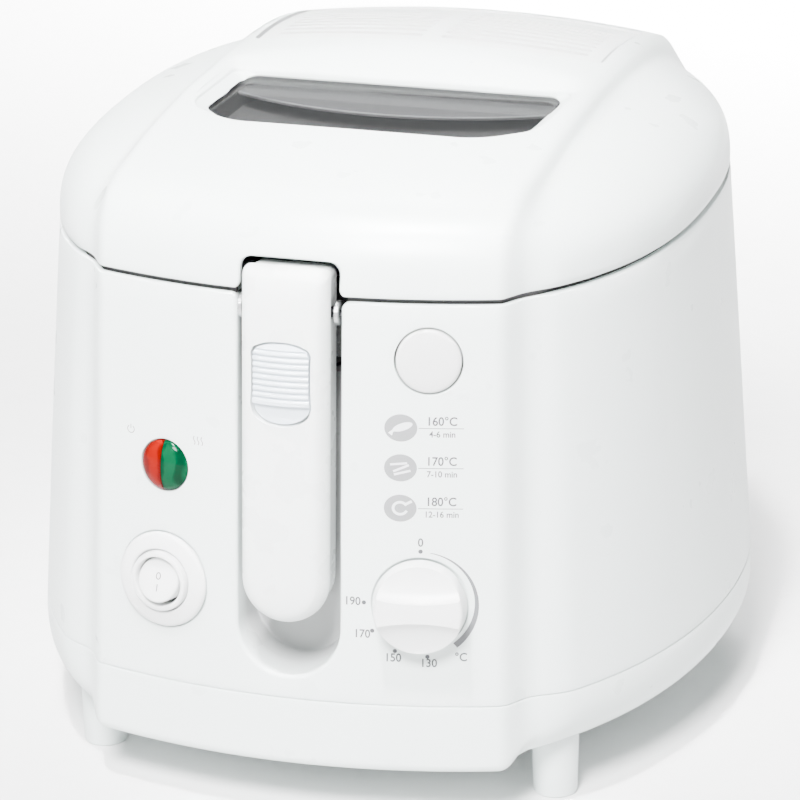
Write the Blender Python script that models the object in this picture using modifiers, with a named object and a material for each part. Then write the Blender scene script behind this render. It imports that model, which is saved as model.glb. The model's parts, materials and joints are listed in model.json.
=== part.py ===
"""Cool-wall deep fryer with a lift-up lid, a fold-out basket handle and a thermostat knob.

Frame: metres, +Z up, the front of the fryer faces -Y. The origin is on the table under the
middle of the fryer. Every moving piece is modelled at rest: lid shut, handle folded in.
"""

import math

import bmesh
import bpy
import numpy as np
from mathutils import Matrix, Vector

# ---- driving dimensions -------------------------------------------------------------------
GAP = 0.0003  # clearance between pieces that touch
WALL = 0.0025  # moulded plastic wall

SEAM_LID = 0.185  # underside of the lid's rim
RIM_TOP = 0.1832  # top edge of the housing
SEAM_BASE = 0.0436  # joint between housing and base tray
BAND_BOTTOM = 0.0195  # lower edge of the raised front band
TRAY_BOTTOM, TRAY_FLOOR = 0.0105, 0.0172  # lowest point of the lobes, and the floor inside the tray

# side lobes in plan, at the base seam and at the lid seam
HALF_WIDTH = (0.1241, 0.1123)
FRONT_DEPTH = (0.160, 0.1392)
REAR_DEPTH = (0.140, 0.135)
PLAN_CENTRE = (0.005, 0.0035)
PLAN_POWER = (2.10, 2.416)
SHOULDER_HEIGHT, SHOULDER_POWER = 0.0355, 2.95  # rounding of the lid's lobes above the seam
KEEL_START, KEEL_POWER = 0.046, 3.8  # rounding of the tray's lobes below this height

# raised band that runs up the front, over the lid and down the back
FRONT_FACE = 0.130  # distance of the band's face from the centre at the lid seam
FRONT_LEAN = 0.0577  # how far the face comes forward for each metre down
FRONT_RADIUS, REAR_RADIUS = 0.215, 0.600  # curvature in plan
REAR_FACE, REAR_LEAN = 0.132, 0.050
BAND_HALF = (0.0723, 0.0697)  # half width at the base seam and at the lid seam
BAND_SLANT, BAND_DEPTH = 0.75, 0.013
BAND_PROUD_FRONT, BAND_PROUD_TOP = 0.0085, 0.0055
LID_LEAN = 0.19
LID_EDGE_TOP, LID_PEAK = 0.2214, -0.005
LID_FALL_FRONT, LID_FALL_REAR, LID_REAR_START = 0.955, 1.8, 0.040
LID_CROWN = (0.0026, 0.0052)  # extra height on the centre line, front and rear
LID_CORNER = 0.016

# viewing window and the dish around it
WINDOW_HALF, WINDOW_CHAMFER_HALF = 0.0585, 0.0434
WINDOW_FRONT, WINDOW_REAR, WINDOW_CHAMFER = -0.0560, 0.0030, 0.0190
DISH_HEIGHT, DISH_TILT = 0.2181, -0.052
DISH_RISE_REAR, DISH_RISE_SIDE = 0.32, 0.45

# openings in the front face: (x, z) of each centre
LAMP_AT, LAMP_R = (-0.0450, 0.1200), 0.0087
SWITCH_AT, SWITCH_R = (-0.0455, 0.0797), 0.0167
BUTTON_AT, BUTTON_R = (0.0468, 0.1643), 0.0110
KNOB_AT, KNOB_R, KNOB_H = (0.0448, 0.0800), 0.0162, 0.01255

# handle and the recess that it folds into
HANDLE_HALF, HANDLE_TOP, HANDLE_BOTTOM = 0.0152, 0.1932, 0.0716
HANDLE_PROUD, HANDLE_BACK = 0.0088, 0.0100
HINGE_Y, HINGE_Z = -0.1270, 0.1790
RECESS_HALF, RECESS_FLOOR, RECESS_DEPTH = 0.0178, 0.0514, 0.0190
POCKET_FLOOR, POCKET_DEPTH = 0.1530, 0.0275  # deeper top of the recess, where the handle's top end swings in
NOTCH_TOP = 0.1965
SLIDER_HALF, SLIDER_TOP, SLIDER_BOTTOM, SLIDER_TRAVEL = 0.0098, 0.1690, 0.1440, 0.0040

# oil pan, basket and lid hinge
PAN_CENTRE, PAN_R, PAN_TOP, PAN_FLOOR = 0.008, 0.0920, 0.1812, 0.0660
PAN_FLANGE = 0.0990
BASKET_R, BASKET_BOTTOM, BASKET_TOP = 0.0800, 0.0720, 0.1300
LID_HINGE_Y, LID_HINGE_Z = 0.1380, 0.1860
LATCH_X, LATCH_PIVOT_Z, LATCH_Y = 0.0468, 0.1350, -0.1065
FOOT_X, FOOT_Y, FOOT_R = 0.0820, 0.0940, 0.0076

WHITE, WARM_WHITE, STEEL, DARK = (0.86, 0.87, 0.88), (0.80, 0.80, 0.80), (0.55, 0.56, 0.58), (0.04, 0.04, 0.045)

for stale in list(bpy.data.objects):
    bpy.data.objects.remove(stale, do_unlink=True)
PARTS = bpy.data.collections.new("deep_fryer")
CUTTERS = bpy.data.collections.new("cutters")
for group in (PARTS, CUTTERS):
    bpy.context.scene.collection.children.link(group)
CUTTERS.hide_render = True


# ---- outer form: distance functions, negative inside -----------------------------------------
def round_and(a, b, r):
    """Intersection of two solids, with a fillet of radius r on their common edge."""
    return np.minimum(-r, np.maximum(a, b)) + np.hypot(np.maximum(r + a, 0), np.maximum(r + b, 0))


def round_or(a, b, r):
    """Union of two solids, with a fillet of radius r in their common corner."""
    return np.maximum(r, np.minimum(a, b)) - np.hypot(np.maximum(r - a, 0), np.maximum(r - b, 0))


def at_height(pair, z):
    """A value that runs evenly from the base seam to the lid seam."""
    share = np.clip((z - SEAM_BASE) / (SEAM_LID - SEAM_BASE), -0.1, 1)
    return pair[0] + (pair[1] - pair[0]) * share


def band_top_height(x, y):
    """Height of the lid's central band, dished around the window."""
    rear = np.clip(y / 0.060, 0, 1) ** 2 * (3 - 2 * np.clip(y / 0.060, 0, 1))
    crown = (LID_CROWN[0] + (LID_CROWN[1] - LID_CROWN[0]) * rear) * (1 - (x / BAND_HALF[1]) ** 2)
    fall = LID_FALL_FRONT * np.minimum(y - LID_PEAK, 0) ** 2
    fall = fall + LID_FALL_REAR * np.maximum(y - LID_REAR_START, 0) ** 2
    rise = np.hypot(
        DISH_RISE_REAR * np.maximum(y - WINDOW_REAR, 0),
        DISH_RISE_SIDE * np.maximum(np.abs(x) - WINDOW_HALF, 0),
    )
    dish = DISH_HEIGHT + DISH_TILT * (y - WINDOW_REAR) + rise
    return np.minimum(LID_EDGE_TOP + crown - fall, dish)


def band_faces(x, y, z):
    """Signed distances to the band's front, top and rear faces."""
    below = np.maximum(SEAM_LID - z, 0)
    front = -(FRONT_FACE + FRONT_LEAN * below) + LID_LEAN * np.maximum(z - SEAM_LID, 0)
    rear = REAR_FACE + REAR_LEAN * below
    return front + x * x / (2 * FRONT_RADIUS) - y, z - band_top_height(x, y), y - rear + x * x / (2 * REAR_RADIUS)


def side_lobes(x, y, z):
    front, top, rear = band_faces(x, y, z)
    centre = at_height(PLAN_CENTRE, z)
    depth = np.where(y < centre, at_height(FRONT_DEPTH, z), at_height(REAR_DEPTH, z))
    power = at_height(PLAN_POWER, z)
    plan = (np.abs(x / at_height(HALF_WIDTH, z)) ** power + np.abs((y - centre) / depth) ** power) ** (1 / power)
    up = np.maximum(0, (z - SEAM_LID) / SHOULDER_HEIGHT)
    down = np.maximum(0, (KEEL_START - z) / (KEEL_START - TRAY_BOTTOM))
    shoulder = (plan**SHOULDER_POWER + up**SHOULDER_POWER) ** (1 / SHOULDER_POWER)
    keel = (plan**KEEL_POWER + down**KEEL_POWER) ** (1 / KEEL_POWER)
    lobes = (np.where(z > KEEL_START, shoulder, keel) - 1) * 0.110
    lobes = round_and(lobes, front + BAND_PROUD_FRONT, 0.004)
    return round_and(lobes, round_and(top + BAND_PROUD_TOP, rear + BAND_PROUD_FRONT, 0.010), 0.004)


def band(x, y, z):
    front, top, rear = band_faces(x, y, z)
    skin = round_and(round_and(round_and(front, top, LID_CORNER), rear, LID_CORNER), BAND_BOTTOM - z, 0.003)
    side = np.abs(x) - at_height(BAND_HALF, z) + BAND_SLANT * np.maximum(skin, -BAND_DEPTH)
    return round_and(skin, side, 0.002)


def outer_form(x, y, z):
    return round_or(side_lobes(x, y, z), band(x, y, z), 0.003)


# directions of the loft's corners, measured from the front; closer together at the band's edges
FRONT_ANGLES = (0, 10, 19, 26, 29.4, 32.2, 35.5, 43, 54, 66, 78)
HALF_TURN = FRONT_ANGLES + (90,) + tuple(180 - a for a in reversed(FRONT_ANGLES))
ANGLES = np.radians(HALF_TURN + tuple(360 - a for a in reversed(HALF_TURN[1:-1])))


def form_ring(height, elevation=0.0, inset=0.0):
    """Corners where rays from the axis, at this height and elevation, leave the outer form."""
    flat, climb = math.cos(math.radians(elevation)), math.sin(math.radians(elevation))
    aim = (np.sin(ANGLES) * flat, -np.cos(ANGLES) * flat, np.full_like(ANGLES, climb))
    low, high = np.zeros_like(ANGLES), np.full_like(ANGLES, 0.26)
    for _ in range(36):
        middle = (low + high) / 2
        inside = outer_form(middle * aim[0], middle * aim[1], height + middle * aim[2]) < -inset
        low, high = np.where(inside, middle, low), np.where(inside, high, middle)
    return [Vector((r * a, r * b, height + r * c)) for r, a, b, c in zip(low, *aim)]


# ---- modelling helpers ----------------------------------------------------------------------
def material(name, colour, roughness=0.35, metallic=0.0):
    """The named Principled material, made the first time that it is asked for."""
    found = bpy.data.materials.get(name)
    if found:
        return found
    made = bpy.data.materials.new(name)
    made.use_nodes = True
    shader = made.node_tree.nodes["Principled BSDF"]
    shader.inputs["Base Color"].default_value = (*colour, 1)
    shader.inputs["Roughness"].default_value = roughness
    shader.inputs["Metallic"].default_value = metallic
    return made


def white(name="white_plastic"):
    return material(name, WHITE, 0.3)


def steel():
    return material("steel", STEEL, 0.3, 1.0)


def add_mesh(name, build, finish, place=None, cutter=False):
    """An object whose mesh the function build makes in a new bmesh."""
    shape = bmesh.new()
    build(shape)
    bmesh.ops.recalc_face_normals(shape, faces=shape.faces)
    mesh = bpy.data.meshes.new(name)
    shape.to_mesh(mesh)
    shape.free()
    return add_object(name, mesh, finish, place, cutter)


def add_object(name, data, finish, place=None, cutter=False):
    """Links an object, a cutter to its own collection, and puts it in its place."""
    obj = bpy.data.objects.new(name, data)
    (CUTTERS if cutter else PARTS).objects.link(obj)
    if finish:
        data.materials.append(finish)
    if place is not None:
        obj.matrix_world = place
    if cutter:
        obj.hide_render = True
        obj.display_type = "WIRE"
    elif isinstance(data, bpy.types.Mesh):
        data.shade_smooth()
        data.set_sharp_from_angle(angle=math.radians(35))
    return obj


def loft(shape, rings, wrap=False):
    """Skins a run of rings that have the same number of corners, capped at both ends or wrapped round."""
    loops = [[shape.verts.new(corner) for corner in ring] for ring in rings]
    for first, second in zip(loops, loops[1:] + loops[:1] if wrap else loops[1:]):
        for i in range(len(first)):
            j = (i + 1) % len(first)
            shape.faces.new((first[i], first[j], second[j], second[i]))
    if not wrap:
        shape.faces.new(loops[0][::-1])
        shape.faces.new(loops[-1])


def lofted(name, rings, finish, place=None, cutter=False):
    return add_mesh(name, lambda shape: loft(shape, rings), finish, place, cutter)


def moulding(name, rings, finish, wrap=False):
    """A curved shell. Its faces are split into triangles, which stay flat when a Boolean cuts them."""

    def build(shape):
        loft(shape, rings, wrap)
        bmesh.ops.triangulate(shape, faces=shape.faces)

    return add_mesh(name, build, finish)


def box(name, low, high, finish, place=None, cutter=False, bevel=0.0):
    """A box between two corners, with its edges rounded by bevel."""

    def build(shape):
        bmesh.ops.create_cube(shape, size=1)
        size = Vector(high) - Vector(low)
        bmesh.ops.scale(shape, vec=size, verts=shape.verts)
        bmesh.ops.translate(shape, vec=(Vector(high) + Vector(low)) / 2, verts=shape.verts)
        if bevel:
            bmesh.ops.bevel(
                shape, geom=shape.edges[:], offset=bevel, segments=2, profile=0.5, affect="EDGES"
            )

    return add_mesh(name, build, finish, place, cutter)


def rod(name, start, end, radius, finish, sides=24, cutter=False, place=None):
    """A straight round bar between two points."""

    def build(shape):
        bmesh.ops.create_cone(
            shape, cap_ends=True, segments=sides, radius1=radius, radius2=radius,
            depth=(Vector(end) - Vector(start)).length,
        )
        turn = (Vector(end) - Vector(start)).to_track_quat("Z", "Y").to_matrix()
        bmesh.ops.rotate(shape, matrix=turn, verts=shape.verts)
        bmesh.ops.translate(shape, vec=(Vector(start) + Vector(end)) / 2, verts=shape.verts)

    return add_mesh(name, build, finish, place, cutter)


def turned(name, profile, finish, place=None, steps=32, cutter=False):
    """A solid of revolution about Z. The profile's (radius, height) points run from top to bottom."""
    mesh = bpy.data.meshes.new(name)
    mesh.from_pydata([(r, 0, h) for r, h in profile], [(i, i + 1) for i in range(len(profile) - 1)], [])
    obj = add_object(name, mesh, finish, place, cutter)
    screw = obj.modifiers.new("turn", "SCREW")
    screw.axis = "Z"
    screw.steps = screw.render_steps = steps
    screw.use_merge_vertices = True
    screw.merge_threshold = 0.00001
    screw.use_smooth_shade = True
    return obj


def ring_profile(outer, inner, high, low):
    """Closed section of a washer or tube, for turned()."""
    return [(outer, high), (outer, low), (inner, low), (inner, high), (outer, high)]


def plate(name, outline, low, high, finish, place=None, cutter=False):
    """A flat outline in X and Y, given thickness from low to high."""
    rings = [[Vector((x, y, z)) for x, y in outline] for z in (low, high)]
    return lofted(name, rings, finish, place, cutter)


def tube(name, points, radius, finish, closed=False, place=None, sides=2):
    """A round wire along a run of points."""
    curve = bpy.data.curves.new(name, "CURVE")
    curve.dimensions = "3D"
    curve.bevel_depth = radius
    curve.bevel_resolution = sides
    curve.use_fill_caps = not closed
    line = curve.splines.new("POLY")
    line.points.add(len(points) - 1)
    for point, at in zip(line.points, points):
        point.co = (*at, 1)
    line.use_cyclic_u = closed
    return add_object(name, curve, finish, place)


def combine(obj, tool, operation):
    """A Boolean with another object, whose own modifiers count."""
    step = obj.modifiers.new(f"{operation.lower()}_{tool.name}", "BOOLEAN")
    step.operation = operation
    step.object = tool
    step.solver = "EXACT"


def cut(obj, *tools):
    for tool in tools:
        combine(obj, tool, "DIFFERENCE")


def join(obj, *tools):
    for tool in tools:
        combine(obj, tool, "UNION")


def face_frame(at):
    """Frame on the front band at (x, z): local Z points out of the face, local Y up it."""
    x, z = at
    y = -(FRONT_FACE + FRONT_LEAN * (SEAM_LID - z)) + x * x / (2 * FRONT_RADIUS)
    out = Vector((x / FRONT_RADIUS, -1, FRONT_LEAN)).normalized()
    across = Vector((1, x / FRONT_RADIUS, 0)).normalized()
    return Matrix.Translation((x, y, z)) @ Matrix((across, out.cross(across), out)).transposed().to_4x4()


def arc(centre, radius, start, end, steps):
    """Points on an arc in a plane, angles in degrees."""
    turns = [math.radians(start + (end - start) * i / steps) for i in range(steps + 1)]
    return [(centre[0] + radius * math.cos(t), centre[1] + radius * math.sin(t)) for t in turns]


# ---- housing and base ---------------------------------------------------------------------
# the handle and its recess lean with the front face, about the line where it meets the lid
LEAN = Matrix.Translation((0, -FRONT_FACE, SEAM_LID)) @ Matrix.Rotation(-math.atan(FRONT_LEAN), 4, "X")


def recess_block(name, half, floor, front, back, top, cutter=True):
    """A slot with a half-round bottom, in the leaning frame of the front face (x, depth, height)."""
    outline = arc((0, floor - SEAM_LID + half), half, 180, 360, 10)
    outline += [(half, top - SEAM_LID), (-half, top - SEAM_LID)]
    rings = [[Vector((x, y, z)) for x, z in outline] for y in (front, back)]
    return lofted(name, rings, None, LEAN, cutter)


def pocket_block(name, half, front, back, floor, top):
    """A block in the leaning frame of the front face, from one depth to another."""
    return box(name, (-half, front, floor - SEAM_LID), (half, back, top - SEAM_LID), None, LEAN, cutter=True)


def make_housing():
    heights = (SEAM_BASE + GAP, 0.058, 0.085, 0.120, 0.155, RIM_TOP)
    rings = [form_ring(z) for z in heights] + [form_ring(z, inset=WALL) for z in reversed(heights)]
    shell = moulding("housing", rings, white(), wrap=True)
    join(shell, recess_block("recess_liner", RECESS_HALF + 0.0022, RECESS_FLOOR - 0.0022,
                             0.0017, RECESS_DEPTH + 0.0022, RIM_TOP - 0.0006))
    join(shell, pocket_block("pocket_liner", RECESS_HALF + 0.0022, 0.0150, POCKET_DEPTH + 0.0022,
                             POCKET_FLOOR - 0.0022, RIM_TOP - 0.0006))
    for side in (-1, 1):
        for x in (32, 54):
            join(shell, hinge_ear(f"hinge_ear_{side}_{x}", side * x / 1000))
    cut(shell, recess_block("recess_hollow", RECESS_HALF, RECESS_FLOOR, -0.030, RECESS_DEPTH, 0.21))
    cut(shell, pocket_block("pocket_hollow", RECESS_HALF, 0.0020, POCKET_DEPTH, POCKET_FLOOR, 0.21))
    for name, at, radius in (
        ("lamp_hole", LAMP_AT, LAMP_R + 0.0006), ("switch_hole", SWITCH_AT, 0.0130),
        ("button_hole", BUTTON_AT, BUTTON_R + 0.0005), ("knob_hole", KNOB_AT, 0.0045),
    ):
        cut(shell, rod(name, (0, 0, -0.014), (0, 0, 0.012), radius, None, 32, True, face_frame(at)))
    cut(shell, rod("gland_hole", (0.055, 0.10, 0.060), (0.055, 0.16, 0.060), 0.0065, None, 20, True))
    cut(shell, rod("hinge_bore", (-0.065, LID_HINGE_Y, LID_HINGE_Z), (0.065, LID_HINGE_Y, LID_HINGE_Z),
                   0.0021, None, 16, True))


def hinge_ear(name, x, width=0.005):
    """An ear behind the housing that carries the lid's hinge pin."""
    back = arc((LID_HINGE_Y, LID_HINGE_Z), 0.0045, -20, 180, 8)
    outline = [(0.1300, 0.1640), (0.1350, 0.1640), *back, (0.1335, 0.1822), (0.1300, 0.1822)]
    rings = [[Vector((x + side * width / 2, y, z)) for y, z in outline] for side in (-1, 1)]
    return lofted(name, rings, None, cutter=True)


def make_base_tray():
    heights = (0.0145, 0.0180, 0.0205, 0.0250, 0.0320, SEAM_BASE - GAP)
    rings = [form_ring(z, inset=WALL) for z in (TRAY_FLOOR, *heights[2:])]
    tray = moulding("base_tray", rings + [form_ring(z) for z in reversed(heights)], white())
    for index, (x, y) in enumerate(foot_places()):
        cut(tray, rod(f"foot_hole_{index}", (x, y, 0.005), (x, y, 0.045), FOOT_R + 0.0013, None, 24, True))


def foot_places():
    return [(x, y) for y in (-FOOT_Y, FOOT_Y) for x in (-FOOT_X, FOOT_X)]


def make_feet():
    """Turned posts that stand in holes in the tray, each with a round top flange inside it."""
    profile = [(0, 0.0330), (FOOT_R + 0.0004, 0.0330), (FOOT_R + 0.0006, 0.0150), (FOOT_R, 0.0012),
               (FOOT_R - 0.0010, 0), (0, 0)]
    names = ("foot_front_left", "foot_front_right", "foot_rear_left", "foot_rear_right")
    for name, (x, y) in zip(names, foot_places()):
        turned(name, profile, white(), Matrix.Translation((x, y, 0)), 24)


def make_rim_collar():
    """The ledge that closes the space between housing and pan and carries the pan's flange."""
    low, high = 0.1770, 0.1790
    outline = [(p.x, p.y) for p in form_ring(high, inset=WALL + 0.0026)]
    collar = plate("rim_collar", outline, low, high, material("grey_plastic", (0.62, 0.63, 0.64), 0.45))
    hole = rod("collar_hole", (0, PAN_CENTRE, 0.16), (0, PAN_CENTRE, 0.20), PAN_R + 0.0022, None, 48, True)
    slot = recess_block("collar_slot", RECESS_HALF + 0.0030, RECESS_FLOOR, -0.030, POCKET_DEPTH + 0.0028, 0.21)
    latch = box("collar_latch_slot", (LATCH_X - 0.008, -0.123, 0.16), (LATCH_X + 0.008, -0.094, 0.20), None,
                cutter=True)
    cut(collar, hole, slot, latch)


# ---- pan and heating ------------------------------------------------------------------------
def make_pan():
    top, floor = PAN_TOP, PAN_FLOOR
    profile = [(0, floor + 0.0015), (PAN_R - 0.014, floor + 0.0015), (PAN_R - 0.0055, floor + 0.0050),
               (PAN_R - 0.0016, floor + 0.0140), (PAN_R - 0.0016, top), (PAN_FLANGE, top),
               (PAN_FLANGE, top - 0.0016), (PAN_R, top - 0.0016), (PAN_R, floor + 0.0135),
               (PAN_R - 0.0045, floor + 0.0042), (PAN_R - 0.0135, floor), (0, floor)]
    turned("oil_pan", profile, material("pan_coating", (0.10, 0.10, 0.11), 0.4, 0.3),
           Matrix.Translation((0, PAN_CENTRE, 0)), 36)


def make_heating():
    centre = Vector((0, PAN_CENTRE, 0.0610))
    loop = [centre + Vector((0.062 * math.sin(t), 0.062 * math.cos(t), 0))
            for t in np.radians(np.linspace(20, 340, 19))]
    ends = [[Vector((side * 0.0212, y, z)) for y, z in ((0.078, 0.0575), (0.086, 0.0520), (0.096, 0.0505))]
            for side in (1, -1)]
    tube("heating_element", ends[0][::-1] + loop + ends[1], 0.0034, material("element", (0.30, 0.29, 0.28), 0.5, 1.0), sides=1)
    turned("heat_shield", [(0.0, 0.0480), (0.0780, 0.0480), (0.0860, 0.0560), (0.0860, 0.0620), (0.0872, 0.0620),
                           (0.0872, 0.0552), (0.0785, 0.0468), (0.0, 0.0468)],
           steel(), Matrix.Translation((0, PAN_CENTRE, 0)), 30)
    cut(bpy.data.objects["heat_shield"],
        box("shield_notch", (-0.030, 0.075, 0.040), (0.030, 0.110, 0.070), None, cutter=True))
    box("element_clamp", (-0.056, PAN_CENTRE - 0.006, 0.0545), (0.056, PAN_CENTRE + 0.006, 0.0570), steel(), bevel=0.0006)
    box("thermal_fuse", (-0.008, 0.028, 0.0600), (0.008, 0.036, 0.0652), material("fuse", (0.75, 0.72, 0.62), 0.5),
        bevel=0.0008)
    start = face_frame(KNOB_AT) @ Vector((0.006, 0.006, -0.0275))
    route = [start, start + Vector((0, 0.008, -0.004)), Vector((0.048, -0.092, 0.070)), Vector((0.050, -0.080, 0.0420)),
             Vector((0.046, -0.062, 0.0400)), Vector((0.038, -0.040, 0.0400))]
    tube("sensor_capillary", route, 0.0009, material("copper", (0.72, 0.42, 0.28), 0.35, 1.0), sides=1)
    rod("sensor_bulb", (0.030, -0.026, 0.0628), (0.030, 0.036, 0.0628), 0.0028, material("copper", (0.7, 0.4, 0.3)), 12)


# ---- controls on the front --------------------------------------------------------------------
def make_thermostat():
    place = face_frame(KNOB_AT)
    knob = turned("thermostat_knob", [
        (0, KNOB_H - 0.0042), (KNOB_R - 0.0045, KNOB_H - 0.0042), (KNOB_R - 0.0023, KNOB_H - 0.0020),
        (KNOB_R - 0.0011, KNOB_H - 0.0016), (KNOB_R - 0.0006, KNOB_H - 0.0024), (KNOB_R, 0.0030), (KNOB_R, 0.0004),
        (0, 0.0004)], white("control_white"), place, 28)
    grip = KNOB_R - 0.0013
    join(knob, box("knob_grip", (-grip, -0.0036, 0.004), (grip, 0.0036, KNOB_H), None, place, True, 0.0012))
    cut(knob, rod("knob_socket", (0, 0, -0.004), (0, 0, 0.0062), 0.0033, None, 16, True, place))
    rod("thermostat_shaft", (0, 0, -0.0110), (0, 0, 0.0058), 0.0030, steel(), 16, place=place)
    body = turned("thermostat_body", [(0, -0.0045), (0.0150, -0.0045), (0.0150, -0.0270), (0, -0.0270)],
                  material("ceramic", (0.82, 0.80, 0.74), 0.6), place, 28)
    cut(body, rod("body_bore", (0, 0, -0.0130), (0, 0, 0.002), 0.0034, None, 16, True, place))


def make_switch():
    place = face_frame(SWITCH_AT)
    turned("switch_bezel", [
        (0.0104, 0.0042), (0.0109, 0.0028), (SWITCH_R - 0.0016, 0.0016), (SWITCH_R - 0.0004, 0.0010), (SWITCH_R, 0.0004),
        (0.0120, 0.0004), (0.0120, -0.0068), (0.0088, -0.0068), (0.0088, 0.0036), (0.0092, 0.0042), (0.0104, 0.0042)],
        white("control_white"), place, 26)
    box("switch_body", (-0.0105, -0.0105, -0.0270), (0.0105, 0.0105, -0.0080), material("black_plastic", DARK, 0.5),
        place, bevel=0.0008)
    rest = place @ Matrix.Rotation(math.radians(-8), 4, "X")
    turned("rocker", [(0, 0.0040), (0.0050, 0.0044), (0.0070, 0.0046), (0.0076, 0.0038), (0.0072, -0.0040),
                               (0, -0.0040)], white("control_white"), rest, 32)


def make_lamp():
    """Two half-round lenses, red on the left for power and green on the right for heating."""
    place = face_frame(LAMP_AT)
    rise = [(0, 0.0024), (0.0040, 0.0020), (0.0068, 0.0012), (LAMP_R, 0.0003), (LAMP_R, -0.0040), (0, -0.0040)]
    for name, side, colour in (("lamp_lens_red", -1, (0.75, 0.07, 0.04)), ("lamp_lens_green", 1, (0.0, 0.35, 0.2))):
        lens = turned(name, rise, material(name, colour, 0.15), place, 32)
        low, high = sorted((side * 0.0002, side * -0.02))
        cut(lens, box(f"{name}_half", (low, -0.02, -0.01), (high, 0.02, 0.01), None, place, True))
    turned("lamp_holder", ring_profile(0.0106, 0.0088, -0.0044, -0.0180)[:2] + [(0, -0.0180), (0, -0.0150),
           (0.0088, -0.0150), (0.0088, -0.0044), (0.0106, -0.0044)], white("holder_white"), place, 28)


def make_release_button():
    place = face_frame(BUTTON_AT)
    cap = turned("release_button", [
        (0, 0.0008), (BUTTON_R - 0.0010, 0.0004), (BUTTON_R - 0.0002, -0.0004), (BUTTON_R, -0.0012),
        (BUTTON_R, -0.0052), (0, -0.0052)], material("button_grey", WARM_WHITE, 0.35), place, 26)
    join(cap, rod("button_stem", (0, 0, -0.0168), (0, 0, -0.0040), 0.0030, None, 16, True, place))
    turned("button_guide", [
        (0.0128, -0.0050), (0.0128, -0.0146), (0.0036, -0.0146), (0.0036, -0.0132), (0.0116, -0.0132),
        (0.0116, -0.0050), (0.0128, -0.0050)], white("holder_white"), place, 20)
    turns, length, low = 3.0, 0.0062, -0.0124
    coil = [(0.0062 * math.cos(t), 0.0062 * math.sin(t), low + length * t / (2 * math.pi * turns))
            for t in np.linspace(0, 2 * math.pi * turns, 28)]
    tube("button_spring", coil, 0.0005, steel(), place=place, sides=1)


def make_latch():
    """A lever behind the push button, whose nose sits under the lid's catch."""
    x, y, z = LATCH_X, LATCH_Y, LATCH_PIVOT_Z
    outline = [(y + 0.0040, z - 0.0040), (y + 0.0040, 0.1805), (y - 0.0010, 0.1815), (y - 0.0090, 0.1815),
               (y - 0.0109, 0.1798), (y - 0.0104, 0.1790), (y + 0.0005, 0.1790), (y + 0.0005, 0.1700),
               (y - 0.0020, 0.1660), (y - 0.0020, 0.1600), (y + 0.0010, 0.1560), (y - 0.0040, z + 0.0040),
               (y - 0.0040, z - 0.0040)]
    rings = [[Vector((x + side * 0.0030, py, pz)) for py, pz in outline] for side in (-1, 1)]
    lever = lofted("latch_lever", rings, white("holder_white"))
    cut(lever, rod("latch_bore", (x - 0.01, y, z), (x + 0.01, y, z), 0.0019, None, 16, True))
    rod("latch_pin", (x - 0.0095, y, z), (x + 0.0095, y, z), 0.0016, steel(), 16)
    bracket = box("latch_bracket", (x - 0.0110, y - 0.0040, z - 0.0100), (x + 0.0110, y + 0.0040, z + 0.0040),
                  white("holder_white"))
    cut(bracket,
        box("latch_fork", (x - 0.0052, y - 0.0090, z - 0.0058), (x + 0.0052, y + 0.0090, z + 0.0100), None, cutter=True),
        rod("bracket_bore", (x - 0.02, y, z), (x + 0.02, y, z), 0.0019, None, 16, True))


# ---- basket, handle and lift ------------------------------------------------------------------
def make_handle():
    """A lever with a crowned front, a round lower end and a pocket for the release slider."""
    heights = [HANDLE_BOTTOM + HANDLE_HALF * (1 - math.cos(math.radians(a))) for a in (12, 32, 52, 72, 90)]
    heights += [0.110, 0.140, 0.170, 0.184, 0.1900, 0.1922, HANDLE_TOP]
    rings = []
    for height in heights:
        lift = max(0.0, HANDLE_BOTTOM + HANDLE_HALF - height)
        half = math.sqrt(HANDLE_HALF**2 - lift**2)
        ease = max(0.0, (height - 0.184) / (HANDLE_TOP - 0.184))
        half -= 0.0035 * ease**3
        proud = HANDLE_PROUD * (0.55 + 0.45 * half / HANDLE_HALF) - 0.0052 * ease**2
        back = HANDLE_BACK - 0.004 * ease**2
        edge = proud - 0.0045 * half / HANDLE_HALF
        section = [(-half, back), (-half, -edge + 0.0010)]
        section += [(half * s, -(edge + (proud - edge) * (1 - s * s) ** 0.5)) for s in (-0.92, -0.7, -0.36, 0, 0.36, 0.7, 0.92)]
        section += [(half, -edge + 0.0010), (half, back)]
        rings.append([Vector((x, y, height - SEAM_LID)) for x, y in section])
    handle = lofted("basket_handle", rings, white("handle_white"), LEAN)
    pocket = box("slider_pocket", (-SLIDER_HALF - 0.0004, -0.0200, SLIDER_BOTTOM - SEAM_LID - SLIDER_TRAVEL - 0.0006),
                 (SLIDER_HALF + 0.0004, -0.0030, SLIDER_TOP - SEAM_LID + 0.0006), None, LEAN, True)
    cut(handle, pocket, rod("handle_bore", (-0.03, HINGE_Y, HINGE_Z), (0.03, HINGE_Y, HINGE_Z), 0.0023, None, 20, True),
        box("handle_hollow", (-0.0115, 0.0040, 0.100 - SEAM_LID), (0.0115, 0.0200, 0.168 - SEAM_LID), None, LEAN, True))
    rod("handle_pin", (-0.0173, HINGE_Y, HINGE_Z), (0.0173, HINGE_Y, HINGE_Z), 0.0019, steel(), 20)
    slider = box("release_slider", (-SLIDER_HALF, -0.0092, SLIDER_BOTTOM - SEAM_LID),
                 (SLIDER_HALF, -0.0036, SLIDER_TOP - SEAM_LID), material("slider_white", (0.82, 0.85, 0.90), 0.3), LEAN,
                 bevel=0.0008)
    for index in range(8):
        low = SLIDER_BOTTOM - SEAM_LID + 0.0048 + index * 0.0022
        cut(slider, box(f"slider_groove_{index}", (-0.0088, -0.0120, low), (0.0088, -0.0085, low + 0.0009), None,
                        LEAN, True))


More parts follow.
